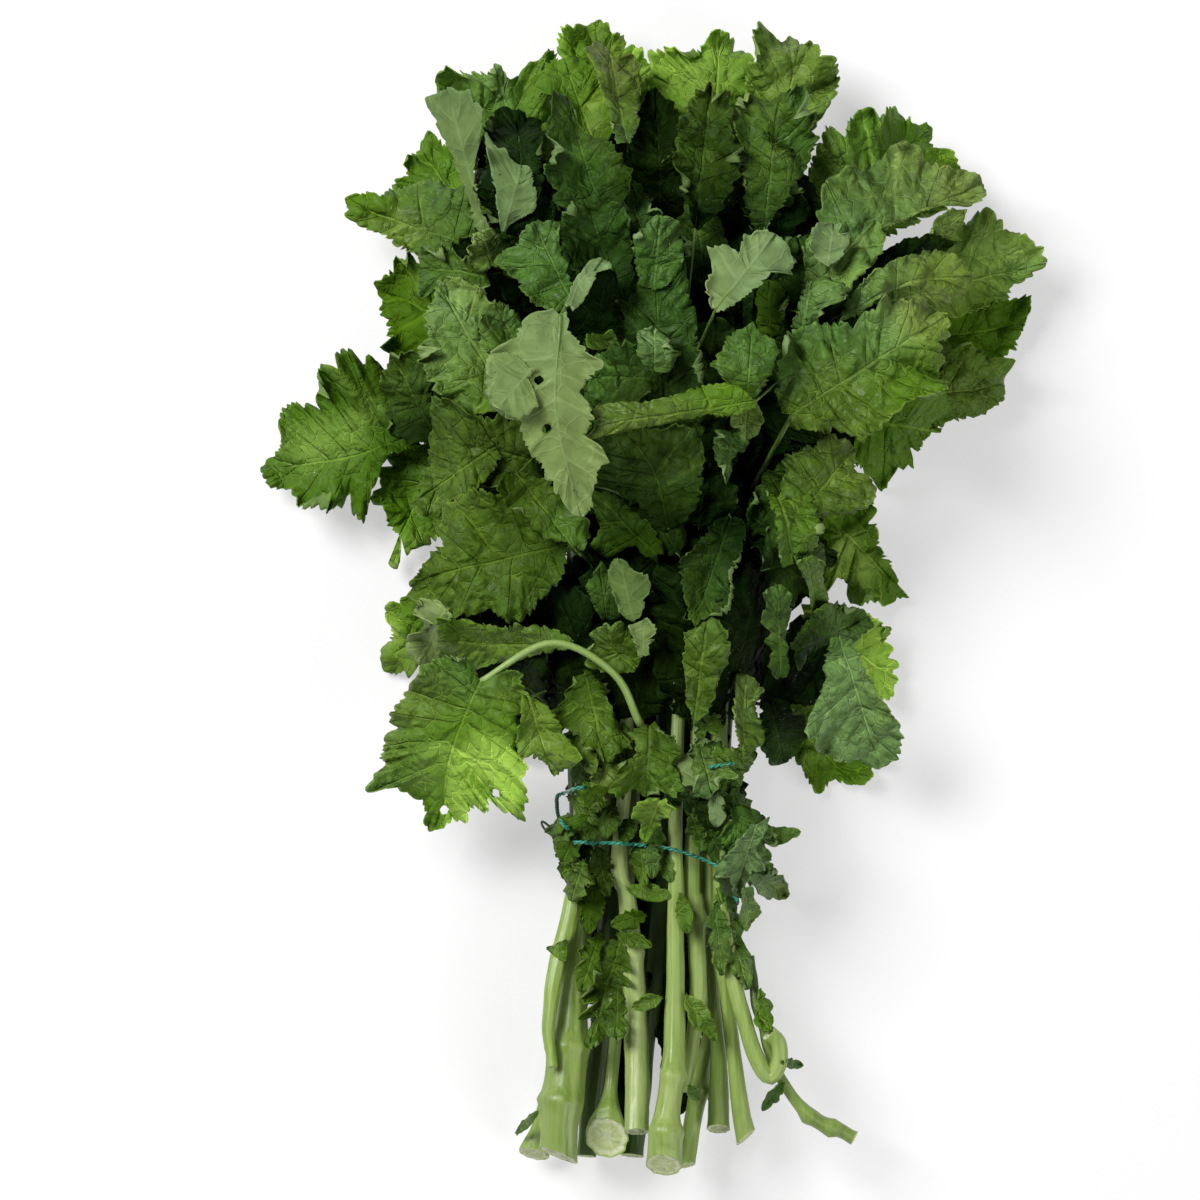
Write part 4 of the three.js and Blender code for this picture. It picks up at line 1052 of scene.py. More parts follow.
# One side of a blade: the places of its points and how high they rise, and for the materials how far
# they are from the midrib, where they are among the lobes, and their share of the way to the margin
def bladeSide(rng, leaf, rows, side):
    look = leafLook
    half = rows["half"]
    columns = int(np.clip(half / look["columnWidth"], *look["columnLimits"]))
    edge = np.linspace(0, 1, columns + 1) ** 0.85
    width, phase = sideWidth(rng, leaf, rows, side)
    slope = sideSlope(rng, leaf, rows, side, edge)
    steps = width[:, None] * np.diff(edge, prepend=0)[None]
    out = np.cumsum(steps * np.cos(slope), axis=1)
    rise = np.cumsum(steps * np.sin(slope), axis=1)
    out = out * np.clip(width / np.maximum(out.max(axis=1), 0.3), 1, 1.5)[:, None]
    # the blade swells between its veins
    quilt = np.abs(np.cos(np.pi * phase))[:, None] ** 0.7
    quilt = quilt * np.clip(width[:, None] * edge / 4, 0, 1) * (1 - edge**3) * min(1, half / 10)
    rise = rise + look["quilting"] * quilt * (-1 if leaf.get("turned") else 1)
    lateral = side * width[:, None] * edge * np.maximum(np.sin(rows["angle"]), 0.3)[:, None]
    lateral = lateral * max(1, 10 / half)
    places = np.dstack([lateral, phase[:, None] + 0 * lateral, edge + 0 * lateral])
    centre, way = rows["centre"], rowWay(rows, side)
    x, y = (centre[:, k : k + 1] + out * way[:, k : k + 1] for k in range(2))
    # from left to right, with the midrib in only one of the sides
    keep = slice(None, None, -1) if side < 0 else slice(1, None)
    return x[:, keep], y[:, keep], rise[:, keep], places[:, keep]


# which cells of a blade lie in its holes; the points round a hole move to its rim
def tearHoles(leaf, x, y):
    reach = leafLook["holeSize"]
    torn = np.zeros((len(x) - 1, x.shape[1] - 1), bool)
    for hole in leaf.get("holes", ()):
        awayX, awayY = x - hole[0] - bunchShift[0], y - hole[1] - bunchShift[1]
        cellX, cellY = ((away[:-1, :-1] + away[1:, 1:]) / 2 for away in (awayX, awayY))
        inside = np.hypot(cellX, cellY) < reach
        onRim = np.zeros(x.shape, bool)
        for i, j in np.argwhere(inside):
            onRim[i : i + 2, j : j + 2] = True
        change = np.where(onRim, reach / np.maximum(np.hypot(awayX, awayY), 0.2) - 1, 0)
        x, y = x + awayX * change, y + awayY * change
        torn |= inside
    return x, y, torn


# the thickness of the blade round its holes, between its upper points and the lower ones after them
def holeEdges(torn, size):
    edges = []
    columns = torn.shape[1] + 1
    for i, j in np.argwhere(torn):
        a = int(i * columns + j)
        corners = (a, a + 1, a + columns + 1, a + columns)
        beside = ((i - 1, j), (i, j + 1), (i + 1, j), (i, j - 1))
        for k, (row, column) in enumerate(beside):
            if 0 <= row < torn.shape[0] and 0 <= column < torn.shape[1] and not torn[row, column]:
                p, q = corners[k], corners[(k + 1) % 4]
                edges.append((q, q + size, p + size, p))
    return edges


# swells and hollows, about -1 to 1, over a blade
def crumple(rng, x, y):
    total = np.zeros_like(x)
    for length in (12, 16, 22, 30, 42):
        turn = rng.uniform(0, np.pi)
        total += np.sin(2 * np.pi * ((x * np.cos(turn) + y * np.sin(turn)) / length + rng.random()))
    return total / 2.4


# the blade's points, level with its solid or on the pile, and nowhere through what is under it
def layBlade(rng, leaf, over, x, y, rise, half):
    look = leafLook
    if over:
        z = nodeHeights(over, x, y)
    else:
        z = softPile(*look["layOn"])[pilePlaces(x, y)] + look["layGap"]
    swells = look["crumple"] * leaf.get("ruffle", 1) * min(1, half / 12) * crumple(rng, x, y)
    z = blurred(z, look["softness"][0]) + rise + swells
    rest = softPile(*look["restOn"])[pilePlaces(x, y)]
    z = z + blurred(np.maximum(rest + look["restGap"][0] - z, 0), look["softness"][1])
    z = np.maximum(z, np.maximum(rest + look["restGap"][1], look["floorGap"]))
    return np.dstack([x, y, z])


# the upper and lower sheets of a blade, and the rim that joins them
def addBlade(rng, shape, leaf, grid, places, torn):
    rows, columns = grid.shape[:2]
    size = rows * columns
    turned = leaf.get("turned", False)
    # painted backlight: the glow is a little stronger towards the margin, and with glowAt only round
    # that place
    glow = leaf.get("glow", 0) * np.clip(0.9 + 0.3 * wobble(rng, places[..., 1] / 8, 1), 0, 1.2)
    glow = glow * (0.85 + 0.2 * places[..., 2] ** 2)
    if "glowAt" in leaf:
        atX, atY, reach = leaf["glowAt"]
        glow = glow * np.exp(-((grid[..., 0] - atX) ** 2 + (grid[..., 1] - atY) ** 2) / reach**2)
    far = np.linspace(0, 1, rows)[:, None] + np.zeros(columns)
    # painted shade: the tone is darker towards the base of a blade lying right side up
    shade = leaf.get("pale", 0) - leafLook["paintedBaseShade"] * (1 - far) ** 2 * (0 if turned else 1)
    normals = unit(np.cross(np.gradient(grid, axis=1), np.gradient(grid, axis=0)))
    lift = normals * leafLook["thickness"] / 2
    points = np.concatenate([(grid + lift).reshape(-1, 3), (grid - lift).reshape(-1, 3)])
    places = np.tile(places.reshape(-1, 3), (2, 1))
    shape.add(points, [], 0, places, np.tile(glow.ravel(), 2), np.tile(shade.ravel(), 2))
    upper, lower = (1, 0) if turned else (0, 1)
    for material, sheet in (
        (upper, gridFaces(rows, columns)),
        (lower, gridFaces(rows, columns, size, flip=True)),
    ):
        shape.addFaces([face for face, gone in zip(sheet, torn.ravel()) if not gone], material)
    rim = [i * columns + columns - 1 for i in range(1, rows)]
    rim = list(range(columns)) + rim + [(rows - 1) * columns + j for j in range(columns - 2, -1, -1)]
    rim += [i * columns for i in range(rows - 2, 0, -1)]
    edges = [(a, a + size, b + size, b) for a, b in zip(rim, rim[1:] + rim[:1])]
    shape.addFaces(edges + holeEdges(torn, size), upper)


# the petiole, from inside the bunch to the blade at bladeHeight
def petioleLine(leaf, node, radius, bladeHeight, pileUnder):
    count = petioleLook["points"]
    stem = np.array([leaf["stem"], *leaf.get("way", []), leaf["base"]]) + bunchShift
    stem = smoothLine(stem, count + 1)[:-1]
    under = pileUnder[pilePlaces(*stem.T)]
    if "way" in leaf:
        heights = evened(np.maximum(nodeHeights(node, *stem.T), under + radius + 0.3), 4)
        heights[-4:] = np.linspace(heights[-4], bladeHeight, 5)[:4]
    else:
        start = under[0] - petioleLook["depth"]
        if node:
            start = min(start, nodeHeights(node, stem[:1, 0], stem[:1, 1])[0])
        share = (1 - np.linspace(0, 1, count + 1)[:-1]) ** 0.8
        heights = bladeHeight + (max(start, 2) - bladeHeight) * share
    return np.column_stack([stem, heights])


# the petiole goes on as the midrib, which stands out under the blade
def addMidrib(shape, leaf, node, grid, half, pileUnder):
    look = petioleLook
    rows, columns = grid.shape[:2]
    radius = leaf.get("stemRadius", look["radius"] + look["radiusByWidth"] * half)
    ribRows = np.linspace(0, rows - 1, max(8, rows // 2)).astype(int)
    line = grid[ribRows, columns // 2].copy()
    t = np.linspace(0, 1, len(ribRows))
    radii = np.interp(t, [0, 0.3, 1], [radius, radius * 0.55, look["tipRadius"]])
    line[:, 2] += radii - 0.35 if leaf.get("turned") else 0.1 - radii
    if "stem" in leaf:
        line = np.vstack([petioleLine(leaf, node, radius, line[0, 2], pileUnder), line])
        radii = np.concatenate([np.linspace(radius * 1.25, radius, look["points"]), radii])
    line[:, 2] = np.maximum(line[:, 2], radii + 0.1)
    points, faces = tube(line, radii, look["sides"])
    # painted shade: a petiole is painted darker the deeper it goes into the bunch
    pales = np.full(len(line), float(leaf.get("pale", 0)))
    if "stem" in leaf and "way" not in leaf:
        pales[: look["points"]] = np.linspace(-1, pales[-1], look["points"])
    around = np.tile(np.arange(look["sides"]) / look["sides"], len(line))
    lengths, pales = (np.repeat(values, look["sides"]) for values in (lengthsAlong(line), pales))
    places = np.column_stack([around, lengths, np.zeros(len(points))])
    shape.add(points, faces, 2, places, leaf.get("glow", 0), pales)


def makeLeaf(name, leaf, seed, node=None):
    rng = np.random.default_rng(seed)
    leaf = putRight(leaf, node)
    rows = bladeRows(leaf, midribLine(leaf))
    sides = [bladeSide(rng, leaf, rows, side) for side in (-1, 1)]
    x, y, rise, places = (np.hstack(both) for both in zip(*sides))
    x, y, torn = tearHoles(leaf, x, y)
    grid = layBlade(rng, leaf, leaf.get("over", node), x, y, rise, rows["half"])
    pileUnder = softPile(0, 1)
    raisePile(grid)
    shape = Shape()
    addBlade(rng, shape, leaf, grid, places, torn)
    addMidrib(shape, leaf, node, grid, rows["half"], pileUnder)
    return shape.build(name, [leafTop, leafUnder, petioleSkin], [node] if node else ())


# the torn leaves and young shoots round the tie; they leave the tops of three stalks bare
scrapLook = dict(
    seed=77,
    count=70,
    x=(-33, 38),
    y=(-106, -48),
    swing=75,  # degrees either way
    length=(9, 20),
    half=(3.0, 7.0),
    ruffle=(0.8, 1.6),
    glow=0.5,
    pale=(-0.6, 0.5),
    lobed=(0.8, 2),
    turned=0.12,  # the share of them that lie pale side up
    bare=((4, 12, -84), (-16, -8, -98), (12, 19, -100)),  # from x to x, below y
)


def scrapPlaces():
    look = scrapLook
    rng = np.random.default_rng(look["seed"])
    places = []
    while len(places) < look["count"]:
        base = np.array([rng.uniform(*look["x"]), rng.uniform(*look["y"])])
        turn = math.radians(-90 + rng.uniform(-look["swing"], look["swing"]))
        tip = base + rng.uniform(*look["length"]) * np.array([math.cos(turn), math.sin(turn)])
        half = rng.uniform(*look["half"])
        x, y = np.linspace(base, tip, 6).T
        hides = [((x > a - half) & (x < b + half) & (y < low)).any() for a, b, low in look["bare"]]
        if not any(hides):
            places.append((base, tip, half))
    return places


def makeScrap(k, base, tip, half):
    look = scrapLook
    rng = np.random.default_rng(1000 + k)
    leaf = dict(base=base, tip=tip, half=half, step=1.2)
    leaf["ruffle"] = rng.uniform(*look["ruffle"])
    leaf["glow"] = look["glow"] * rng.random() ** 2
    leaf["pale"] = rng.uniform(*look["pale"])
    leaf["lobed"] = rng.uniform(*look["lobed"])
    leaf["turned"] = rng.random() < look["turned"]
    return makeLeaf(f"scrap_{k + 1}", leaf, seed=2000 + k)


# smaller leaves that fill the head between the large ones
fillLook = dict(
    count=46,
    length=(24, 46),
    half=(9, 17),
    heads=((-36, 142), (26, 150), (62, 106), (-52, 60), (38, 25), (0, 90), (0, 40)),
    spread=15,  # how far they lie about these places
    root=(0, -20),  # the place they point away from
    swing=0.5,  # radians
    ruffle=(1, 1.6),
    pale=(-0.8, -0.25),
)


def makeFill(k):
    look = fillLook
    rng = np.random.default_rng(3000 + k)
    head = np.array(look["heads"][k % len(look["heads"])], float)
    middle = head + rng.normal(0, look["spread"], 2)
    out = middle - np.array(look["root"])
    out = out / np.linalg.norm(out)
    turn = rng.normal(0, look["swing"])
    cos, sin = math.cos(turn), math.sin(turn)
    out = np.array([out[0] * cos - out[1] * sin, out[0] * sin + out[1] * cos])
    length = rng.uniform(*look["length"])
    leaf = dict(base=middle - out * length / 2, tip=middle + out * length / 2, step=1.4)
    for key in ("half", "ruffle", "pale"):
        leaf[key] = rng.uniform(*look[key])
    return makeLeaf(f"inner_leaf_{k + 1}", leaf, seed=3100 + k)


# Stalks
stalkLook = dict(
    step=1.6,
    sides=40,
    ribs=9,
    ribHeight=0.05,  # a share of the radius
    wander=0.04,
    bend=0.6,
    scarHeight=1.3,
    scarLength=2.2,
    scarSwell=0.5,
    swellLength=5,
    cutRings=(1, 0.96, 0.86, 0.7, 0.5, 0.3, 0.12),  # shares of the radius
    cutHollow=0.5,
    cutRough=0.22,
)


# the middle of a stalk and its radius at each point
def stalkLine(name, stalk):
    rough = smoothLine(np.array(stalk["points"]) + bunchShift, 200)
    flat = smoothLine(rough, int(lineLength(rough) / stalkLook["step"]))
    t = np.linspace(0, 1, len(flat))
    wider, within = stalk.get("head", (0, 1))
    radius = np.interp(t, np.linspace(0, 1, len(stalk["radii"])), stalk["radii"])
    radius = radius + wider * np.exp(-((t * lineLength(flat) / within) ** 2))
    z = nodeHeights(name, flat[:, 0], flat[:, 1]) + stalk.get("lift", 0)
    return np.column_stack([flat, evened(np.maximum(z, radius), 6)]), radius


# a stalk swells where leaves have come off, with a ridge under each scar
def addScars(rng, radii, scars, lengths, angles):
    look = stalkLook
    for scar in scars:
        away = (lengths - scar * lengths[-1])[:, None]
        facing = np.cos(angles - (0.5 * np.pi + rng.uniform(-0.9, 0.9)))[None]
        ridge = np.exp(-((away / look["scarLength"]) ** 2)) * np.clip(facing + 0.4, 0, 1)
        shelf = np.exp(-((away + 3.5) ** 2) / 40) * np.clip(facing, 0, 1) * 0.5
        radii = radii + look["scarHeight"] * (ridge + shelf)
        radii = radii + look["scarSwell"] * np.exp(-((away / look["swellLength"]) ** 2))
    return radii


# the cut and the rings near it turn to face up or to a side
def turnCut(points, line, along, right, facing, reach):
    up = np.cross(right, along)
    nod, swing = np.radians(facing)
    turned = np.exp(-((lengthsAlong(line) / reach) ** 2))[:, None]
    offset = points - line[:, None]
    onUp = (offset * up[:, None]).sum(axis=2)
    onRight = (offset * right[:, None]).sum(axis=2)
    slide = onUp * np.sin(nod * turned) + onRight * np.sin(swing * turned)
    shrink = onUp * (np.cos(nod * turned) - 1)
    return points + slide[..., None] * along[:, None] + shrink[..., None] * up[:, None]


# a cut end: rings from the rim to the middle, a little rough and hollowed
def addCut(shape, rng, rim, inward, flip):
    look = stalkLook
    middle = rim.mean(axis=0)
    sides, count = len(rim), len(look["cutRings"])
    rings, places = [], []
    for k, share in enumerate(look["cutRings"]):
        rough = look["cutRough"] * rng.standard_normal(sides) * (0 < k < count - 1)
        depth = look["cutHollow"] * (1 - share) ** 0.5 + rough
        rings.append(middle + (rim - middle) * share + inward * depth[:, None])
        around = np.arange(sides) / sides
        places.append(np.column_stack([around, np.zeros(sides), np.full(sides, share)]))
    points = np.vstack(rings + [middle + inward * look["cutHollow"]])
    places = np.vstack(places + [[0, 0, 0]])
    faces = gridFaces(count, sides, closed=True, flip=flip)
    last = (count - 1) * sides
    for k in range(sides):
        face = (last + k, last + (k + 1) % sides, len(points) - 1)
        faces.append(face[::-1] if flip else face)
    shape.add(points, faces, 1, places)


def makeStalk(name, stalk, seed):
    look = stalkLook
    sides = look["sides"]
    rng = np.random.default_rng(seed)
    line, radius = stalkLine(name, stalk)
    t = np.linspace(0, 1, len(line))
    along = directions(line)
    right = toRight(along)
    line = line + right * (look["bend"] * wobble(rng, t, 3) * (1 - np.exp(-t * 30)))[:, None]
    lengths = lengthsAlong(line)
    angles = 2 * np.pi * np.arange(sides) / sides
    twist = 0.8 * wobble(rng, t, 0.7)
    ribs = np.cos(look["ribs"] * (angles[None] + twist[:, None])) * look["ribHeight"]
    ribs = ribs * (0.6 + 0.4 * np.sin(3 * angles + 6 * rng.random()))[None]
    radii = radius[:, None] * 0.97 * (1 + ribs + look["wander"] * wobble(rng, t, 9)[:, None])
    radii = addScars(rng, radii, stalk.get("scars", ()), lengths, angles)
    flare = 1 + 0.05 * np.exp(-((lengths / 2.0) ** 2))[:, None]
    points, faces = tube(line, radii * flare, sides, endCaps=False)
    points = points.reshape(len(line), sides, 3)
    points = turnCut(points, line, along, right, stalk.get("facing", (6, 0)), 1.1 * radius[0])
    points[..., 2] = np.maximum(points[..., 2], 0.2)
    raisePile(points)
    around = np.tile(angles / (2 * np.pi), len(line))
    places = np.column_stack([around, np.repeat(lengths, sides), np.ones(len(around))])
    pale = np.atleast_1d(stalk["pale"])
    pales = np.interp(t, np.linspace(0, 1, len(pale)), pale)
    shape = Shape()
    shape.add(points.reshape(-1, 3), faces, 0, places, np.repeat(t, sides), np.repeat(pales, sides))
    addCut(shape, rng, points[0], along[0], flip=True)
    addCut(shape, rng, points[-1], -along[-1], flip=False)
    return shape.build(name + "_skin", [stalkSkin, cutFace], [name])


# Tie
tieLook = dict(
    strand=0.42,
    apart=0.4,
    twist=4.5,  # mm for one turn of the two strands
    step=0.5,
    sides=6,
    restOn=(2, 1.5),  # how far the pile is spread and smoothed under it
    clearance=0.8,
    topReach=7,  # mm from the top of the stalks within which it is lifted onto the leaves there
    # the loose end's loop at the left of the bunch, with its height over the tie's end
    loop=[
        (-33, -95, 0), (-37, -90.5, 1), (-41.5, -87, 1), (-41, -89.5, 0), (-36, -94, 0), (-33, -96.5, 0),
    ],
    loopRadius=0.45,
)


# the middle of the tie's solid, found by walking over its surface from one end
def tieRoute():
    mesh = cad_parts["tie"].data
    points = np.array([v.co for v in mesh.vertices]) / mm
    places, same = np.unique(points.round(2), axis=0, return_inverse=True)
    same = same.ravel()
    beside = {k: set() for k in range(len(places))}
    for edge in mesh.edges:
        a, b = (int(same[k]) for k in edge.vertices)
        beside[a].add(b)
        beside[b].add(a)
    start = int(places[:, 1].argmax())
    walked = {start: 0.0}
    queue = [(0.0, start)]
    while queue:
        far, k = heapq.heappop(queue)
        for other in beside[k]:
            reach = far + float(np.linalg.norm(places[k] - places[other]))
            if reach < walked.get(other, 1e9) - 1e-6:
                walked[other] = reach
                heapq.heappush(queue, (reach, other))
    # the middle of each 4 mm of it
    order = np.array([[walked[k], *places[k]] for k in walked])
    bins = (order[:, 0] / 4).astype(int)
    return np.array([order[bins == b][:, 1:].mean(axis=0) for b in np.unique(bins)])


def makeTie(stalkTop):
    look = tieLook
    route = tieRoute()
    line = smoothLine(route, int(lineLength(route) / look["step"]))
    # over the top of the stalks it also lies on the leaves caught under it
    spots = pilePlaces(*line[:, :2].T)
    onTop = np.abs(line[:, 2] - stalkTop[spots]) < look["topReach"]
    short = softPile(*look["restOn"])[spots] + look["clearance"] - line[:, 2]
    lift = np.where(onTop, np.maximum(short, 0), 0)
    lift = np.lib.stride_tricks.sliding_window_view(np.pad(lift, 5), 11).max(axis=1)
    line[:, 2] += evened(lift, 4)
    along = directions(line)
    right = toRight(along)
    up = np.cross(right, along)
    turn = 2 * np.pi * np.arange(len(line)) * look["step"] / look["twist"]
    shape = Shape()
    for strand in range(2):
        angle = turn + np.pi * strand
        path = line + look["apart"] * (np.cos(angle)[:, None] * right + np.sin(angle)[:, None] * up)
        points, faces = tube(path, np.full(len(line), look["strand"]), look["sides"])
        shape.add(points, faces, 0, np.zeros((len(points), 3)))
    endHeight = line[-1, 2] if line[-1, 0] < 0 else line[0, 2]
    loop = smoothLine(np.array(look["loop"]) + [*bunchShift, endHeight], 60)
    points, faces = tube(loop, np.full(len(loop), look["loopRadius"]), look["sides"])
    shape.add(points, faces, 1, np.zeros((len(points), 3)))
    return shape.build("tie_cord", [tieSkin, tieEnd], ["tie"])


# Flower bud
budLook = dict(
    seed=71,
    stem=[(27, -93), (36, -94), (42, -93)],
    stemRadii=(1.1, 1.4),
    buds=16,
    budSize=1.35,
    cluster=3.2,
    petals=5,
    petalSize=3.2,
    petalWidth=0.45,  # a share of its length
)


def addBuds(shape, rng, head):
    look = budLook
    ring = np.linspace(0, np.pi, 7)
    for k in range(look["buds"]):
        angle = k * 2.4
        reach = look["cluster"] * math.sqrt((k + 0.5) / look["buds"])
        offset = (1.5 + 1.5 * rng.random(), reach * math.cos(angle), reach * math.sin(angle))
        size = look["budSize"] * rng.uniform(0.7, 1.1)
        axis = np.column_stack([-np.cos(ring) * size * 1.5, np.zeros(7), np.zeros(7)])
        points, faces = tube(head + np.array(offset) + axis, np.maximum(np.sin(ring) * size, 0.05), 8)
        shape.add(points, faces, 1, np.zeros((len(points), 3)))


def addPetals(shape, head):
    look = budLook
    t = np.linspace(0, 1, 7)
    v = np.linspace(-1, 1, 5)
    width = look["petalSize"] * look["petalWidth"] * np.sin(np.pi * (0.15 + 0.75 * t))
    for k in range(look["petals"]):
        angle = 2 * np.pi * k / look["petals"] + 0.4
        out = np.array([0.75, math.cos(angle), math.sin(angle)])
        out /= np.linalg.norm(out)
        side = np.cross(out, [1.0, 0, 0])
        side /= np.linalg.norm(side)
        middle = head + np.array([2.5, 0, 0]) + out * (t * look["petalSize"])[:, None]
        middle = middle + np.array([0.8, 0, 0]) * (t**2)[:, None]
        cup = np.array([0.35, 0, 0]) * (v**2)[None, :, None]
        grid = (middle[:, None] + side * (width[:, None] * v)[..., None] + cup).reshape(-1, 3)
        both = np.concatenate([grid, grid - np.array([0.25, 0, 0])])
        faces = gridFaces(7, 5) + gridFaces(7, 5, len(grid), flip=True)
        shape.add(both, faces, 2, np.zeros((len(both), 3)))


def makeBud():
    look = budLook
    rng = np.random.default_rng(look["seed"])
    flat = smoothLine(np.array(look["stem"]) + bunchShift, 20)
    line = np.column_stack([flat, nodeHeights("bud_stalk", flat[:, 0], flat[:, 1])])
    shape = Shape()
    points, faces = tube(line, np.linspace(*look["stemRadii"], len(line)), 10)
    shape.add(points, faces, 0, np.zeros((len(points), 3)), 0.6)
    addBuds(shape, rng, line[-1])
    addPetals(shape, line[-1])
    return shape.build("flower_bud", [petioleSkin, budSkin, petalSkin], ["bud_stalk"])


# Materials
class Recipe:
    # one material's nodes; an input is a plain value or another node's output
    def __init__(self, name):
        self.material = bpy.data.materials.new(name)
        self.material.use_nodes = True
        self.tree = self.material.node_tree
        self.tree.nodes.clear()

    def node(self, kind, inputs, out=0, **settings):
        node = self.tree.nodes.new("ShaderNode" + kind)
        for key, value in settings.items():
            setattr(node, key, value)
        for key, value in inputs.items():
            if isinstance(value, bpy.types.NodeSocket):
                self.tree.links.new(value, node.inputs[key])
            elif isinstance(value, tuple) and len(value) == 3 and node.inputs[key].type == "RGBA":
                node.inputs[key].default_value = (*value, 1)
            else:
                node.inputs[key].default_value = value
        return node.outputs[out]

    def math(self, operation, a, b=0.0, clamp=False):
        return self.node("Math", {0: a, 1: b}, operation=operation, use_clamp=clamp)

    def mix(self, factor, a, b):
        return self.node("Mix", {0: factor, 6: a, 7: b}, 2, data_type="RGBA", blend_type="MIX")

    # a colour times another colour, or times a plain value
    def tint(self, colour, by):
        return self.node("VectorMath", {0: colour, 1: by}, operation="MULTIPLY")

    def step(self, value, low, high, toLow=0.0, toHigh=1.0):
        inputs = {0: value, 1: low, 2: high, 3: toLow, 4: toHigh}
        return self.node("MapRange", inputs, interpolation_type="SMOOTHSTEP")

    def noise(self, scale, detail=3.0, roughness=0.55, where=None):
        inputs = {"Vector": where or self.where(), "Scale": scale}
        inputs |= {"Detail": detail, "Roughness": roughness}
        return self.node("TexNoise", inputs)

    def where(self, x=1.0, y=1.0, z=1.0):
        spot = self.node("TexCoord", {}, "Object")
        return self.node("VectorMath", {0: spot, 1: (x, y, z)}, operation="MULTIPLY")

    def attribute(self, name, out):
        return self.node("Attribute", {}, out, attribute_name=name)

    def bump(self, height, distance, strength=1.0):
        return self.node("Bump", {"Height": height, "Distance": distance, "Strength": strength})

    def finish(self, shader):
        output = self.tree.nodes.new("ShaderNodeOutputMaterial")
        self.tree.links.new(shader, output.inputs["Surface"])
        return self.material


# how fine the patterns of a leaf are, in repeats per metre, and the depth of its bumps in metres
leafPattern = dict(
    patches=24,
    mottle=210,
    veinSway=70,
    netSway=90.0,
    fineNet=2.4,  # times as fine as the leaf's own net
    hue=13,
    drops=380.0,
    wetPlaces=34,
    sheen=75,
    bumpDepth=0.0012,
)


# how strong the veins are at each place, and the nets of coarse and fine veins between them
def leafVeins(r, look, place):
    pattern = leafPattern
    lateral, along, edge = place
    # a side vein runs along a row of the blade to the middle of each lobe
    sway = r.math("SUBTRACT", r.noise(pattern["veinSway"], 2), 0.5)
    course = r.math("ADD", along, r.math("MULTIPLY", sway, 0.25))
    off = r.math("ABSOLUTE", r.math("SUBTRACT", r.math("FRACT", course), 0.5))
    veinWidth = r.step(edge, 0.0, 1.0, 0.08, 0.025)
    sideVein = r.math("SUBTRACT", 1.0, r.math("DIVIDE", off, veinWidth), clamp=True)
    midrib = r.step(r.math("ABSOLUTE", lateral), 0.2, 0.75, 0.65, 0.0)
    # finer veins branch between them
    sway = r.node("TexNoise", {"Vector": r.where(), "Scale": pattern["netSway"]}, 1)
    bent = {0: sway, 1: (0.005, 0.005, 0.005), 2: r.where()}
    bent = r.node("VectorMath", bent, operation="MULTIPLY_ADD")
    coarse = r.node("TexVoronoi", {"Vector": bent, "Scale": look["net"]}, feature="DISTANCE_TO_EDGE")
    coarseVein = r.step(coarse, 0.01, 0.04, 1.0, 0.0)
    scale = look["net"] * pattern["fineNet"]
    fine = r.node("TexVoronoi", {"Vector": bent, "Scale": scale}, feature="DISTANCE_TO_EDGE")
    veins = r.math("MAXIMUM", r.math("MULTIPLY", sideVein, 0.85), r.math("MULTIPLY", coarseVein, 0.5))
    return r.math("MAXIMUM", veins, midrib), coarse, fine


# green from the painted shade deep in the bunch to where the blade is palest, and painted backlight in
# yellow-green where it glows
def leafColour(r, look, tone, glow, patches, mottle):
    colour = r.mix(r.step(tone, -1.0, 0.0), look["dark"], look["middle"])
    colour = r.mix(r.step(tone, 0.0, 1.0), colour, look["light"])
    colour = r.tint(colour, r.step(mottle, 0.3, 0.75, *look["mottle"]))
    # some parts are more yellow and others more blue
    hue = r.step(r.noise(leafPattern["hue"], 2), 0.38, 0.62)
    colour = r.mix(hue, r.tint(colour, look["yellower"]), r.tint(colour, look["bluer"]))
    glowing = r.mix(r.step(patches, 0.48, 0.8), look["glowDark"], look["glow"])
    glowing = r.mix(r.step(glow, 0.7, 1.3), glowing, look["glow"])
    return r.mix(glow, colour, glowing)


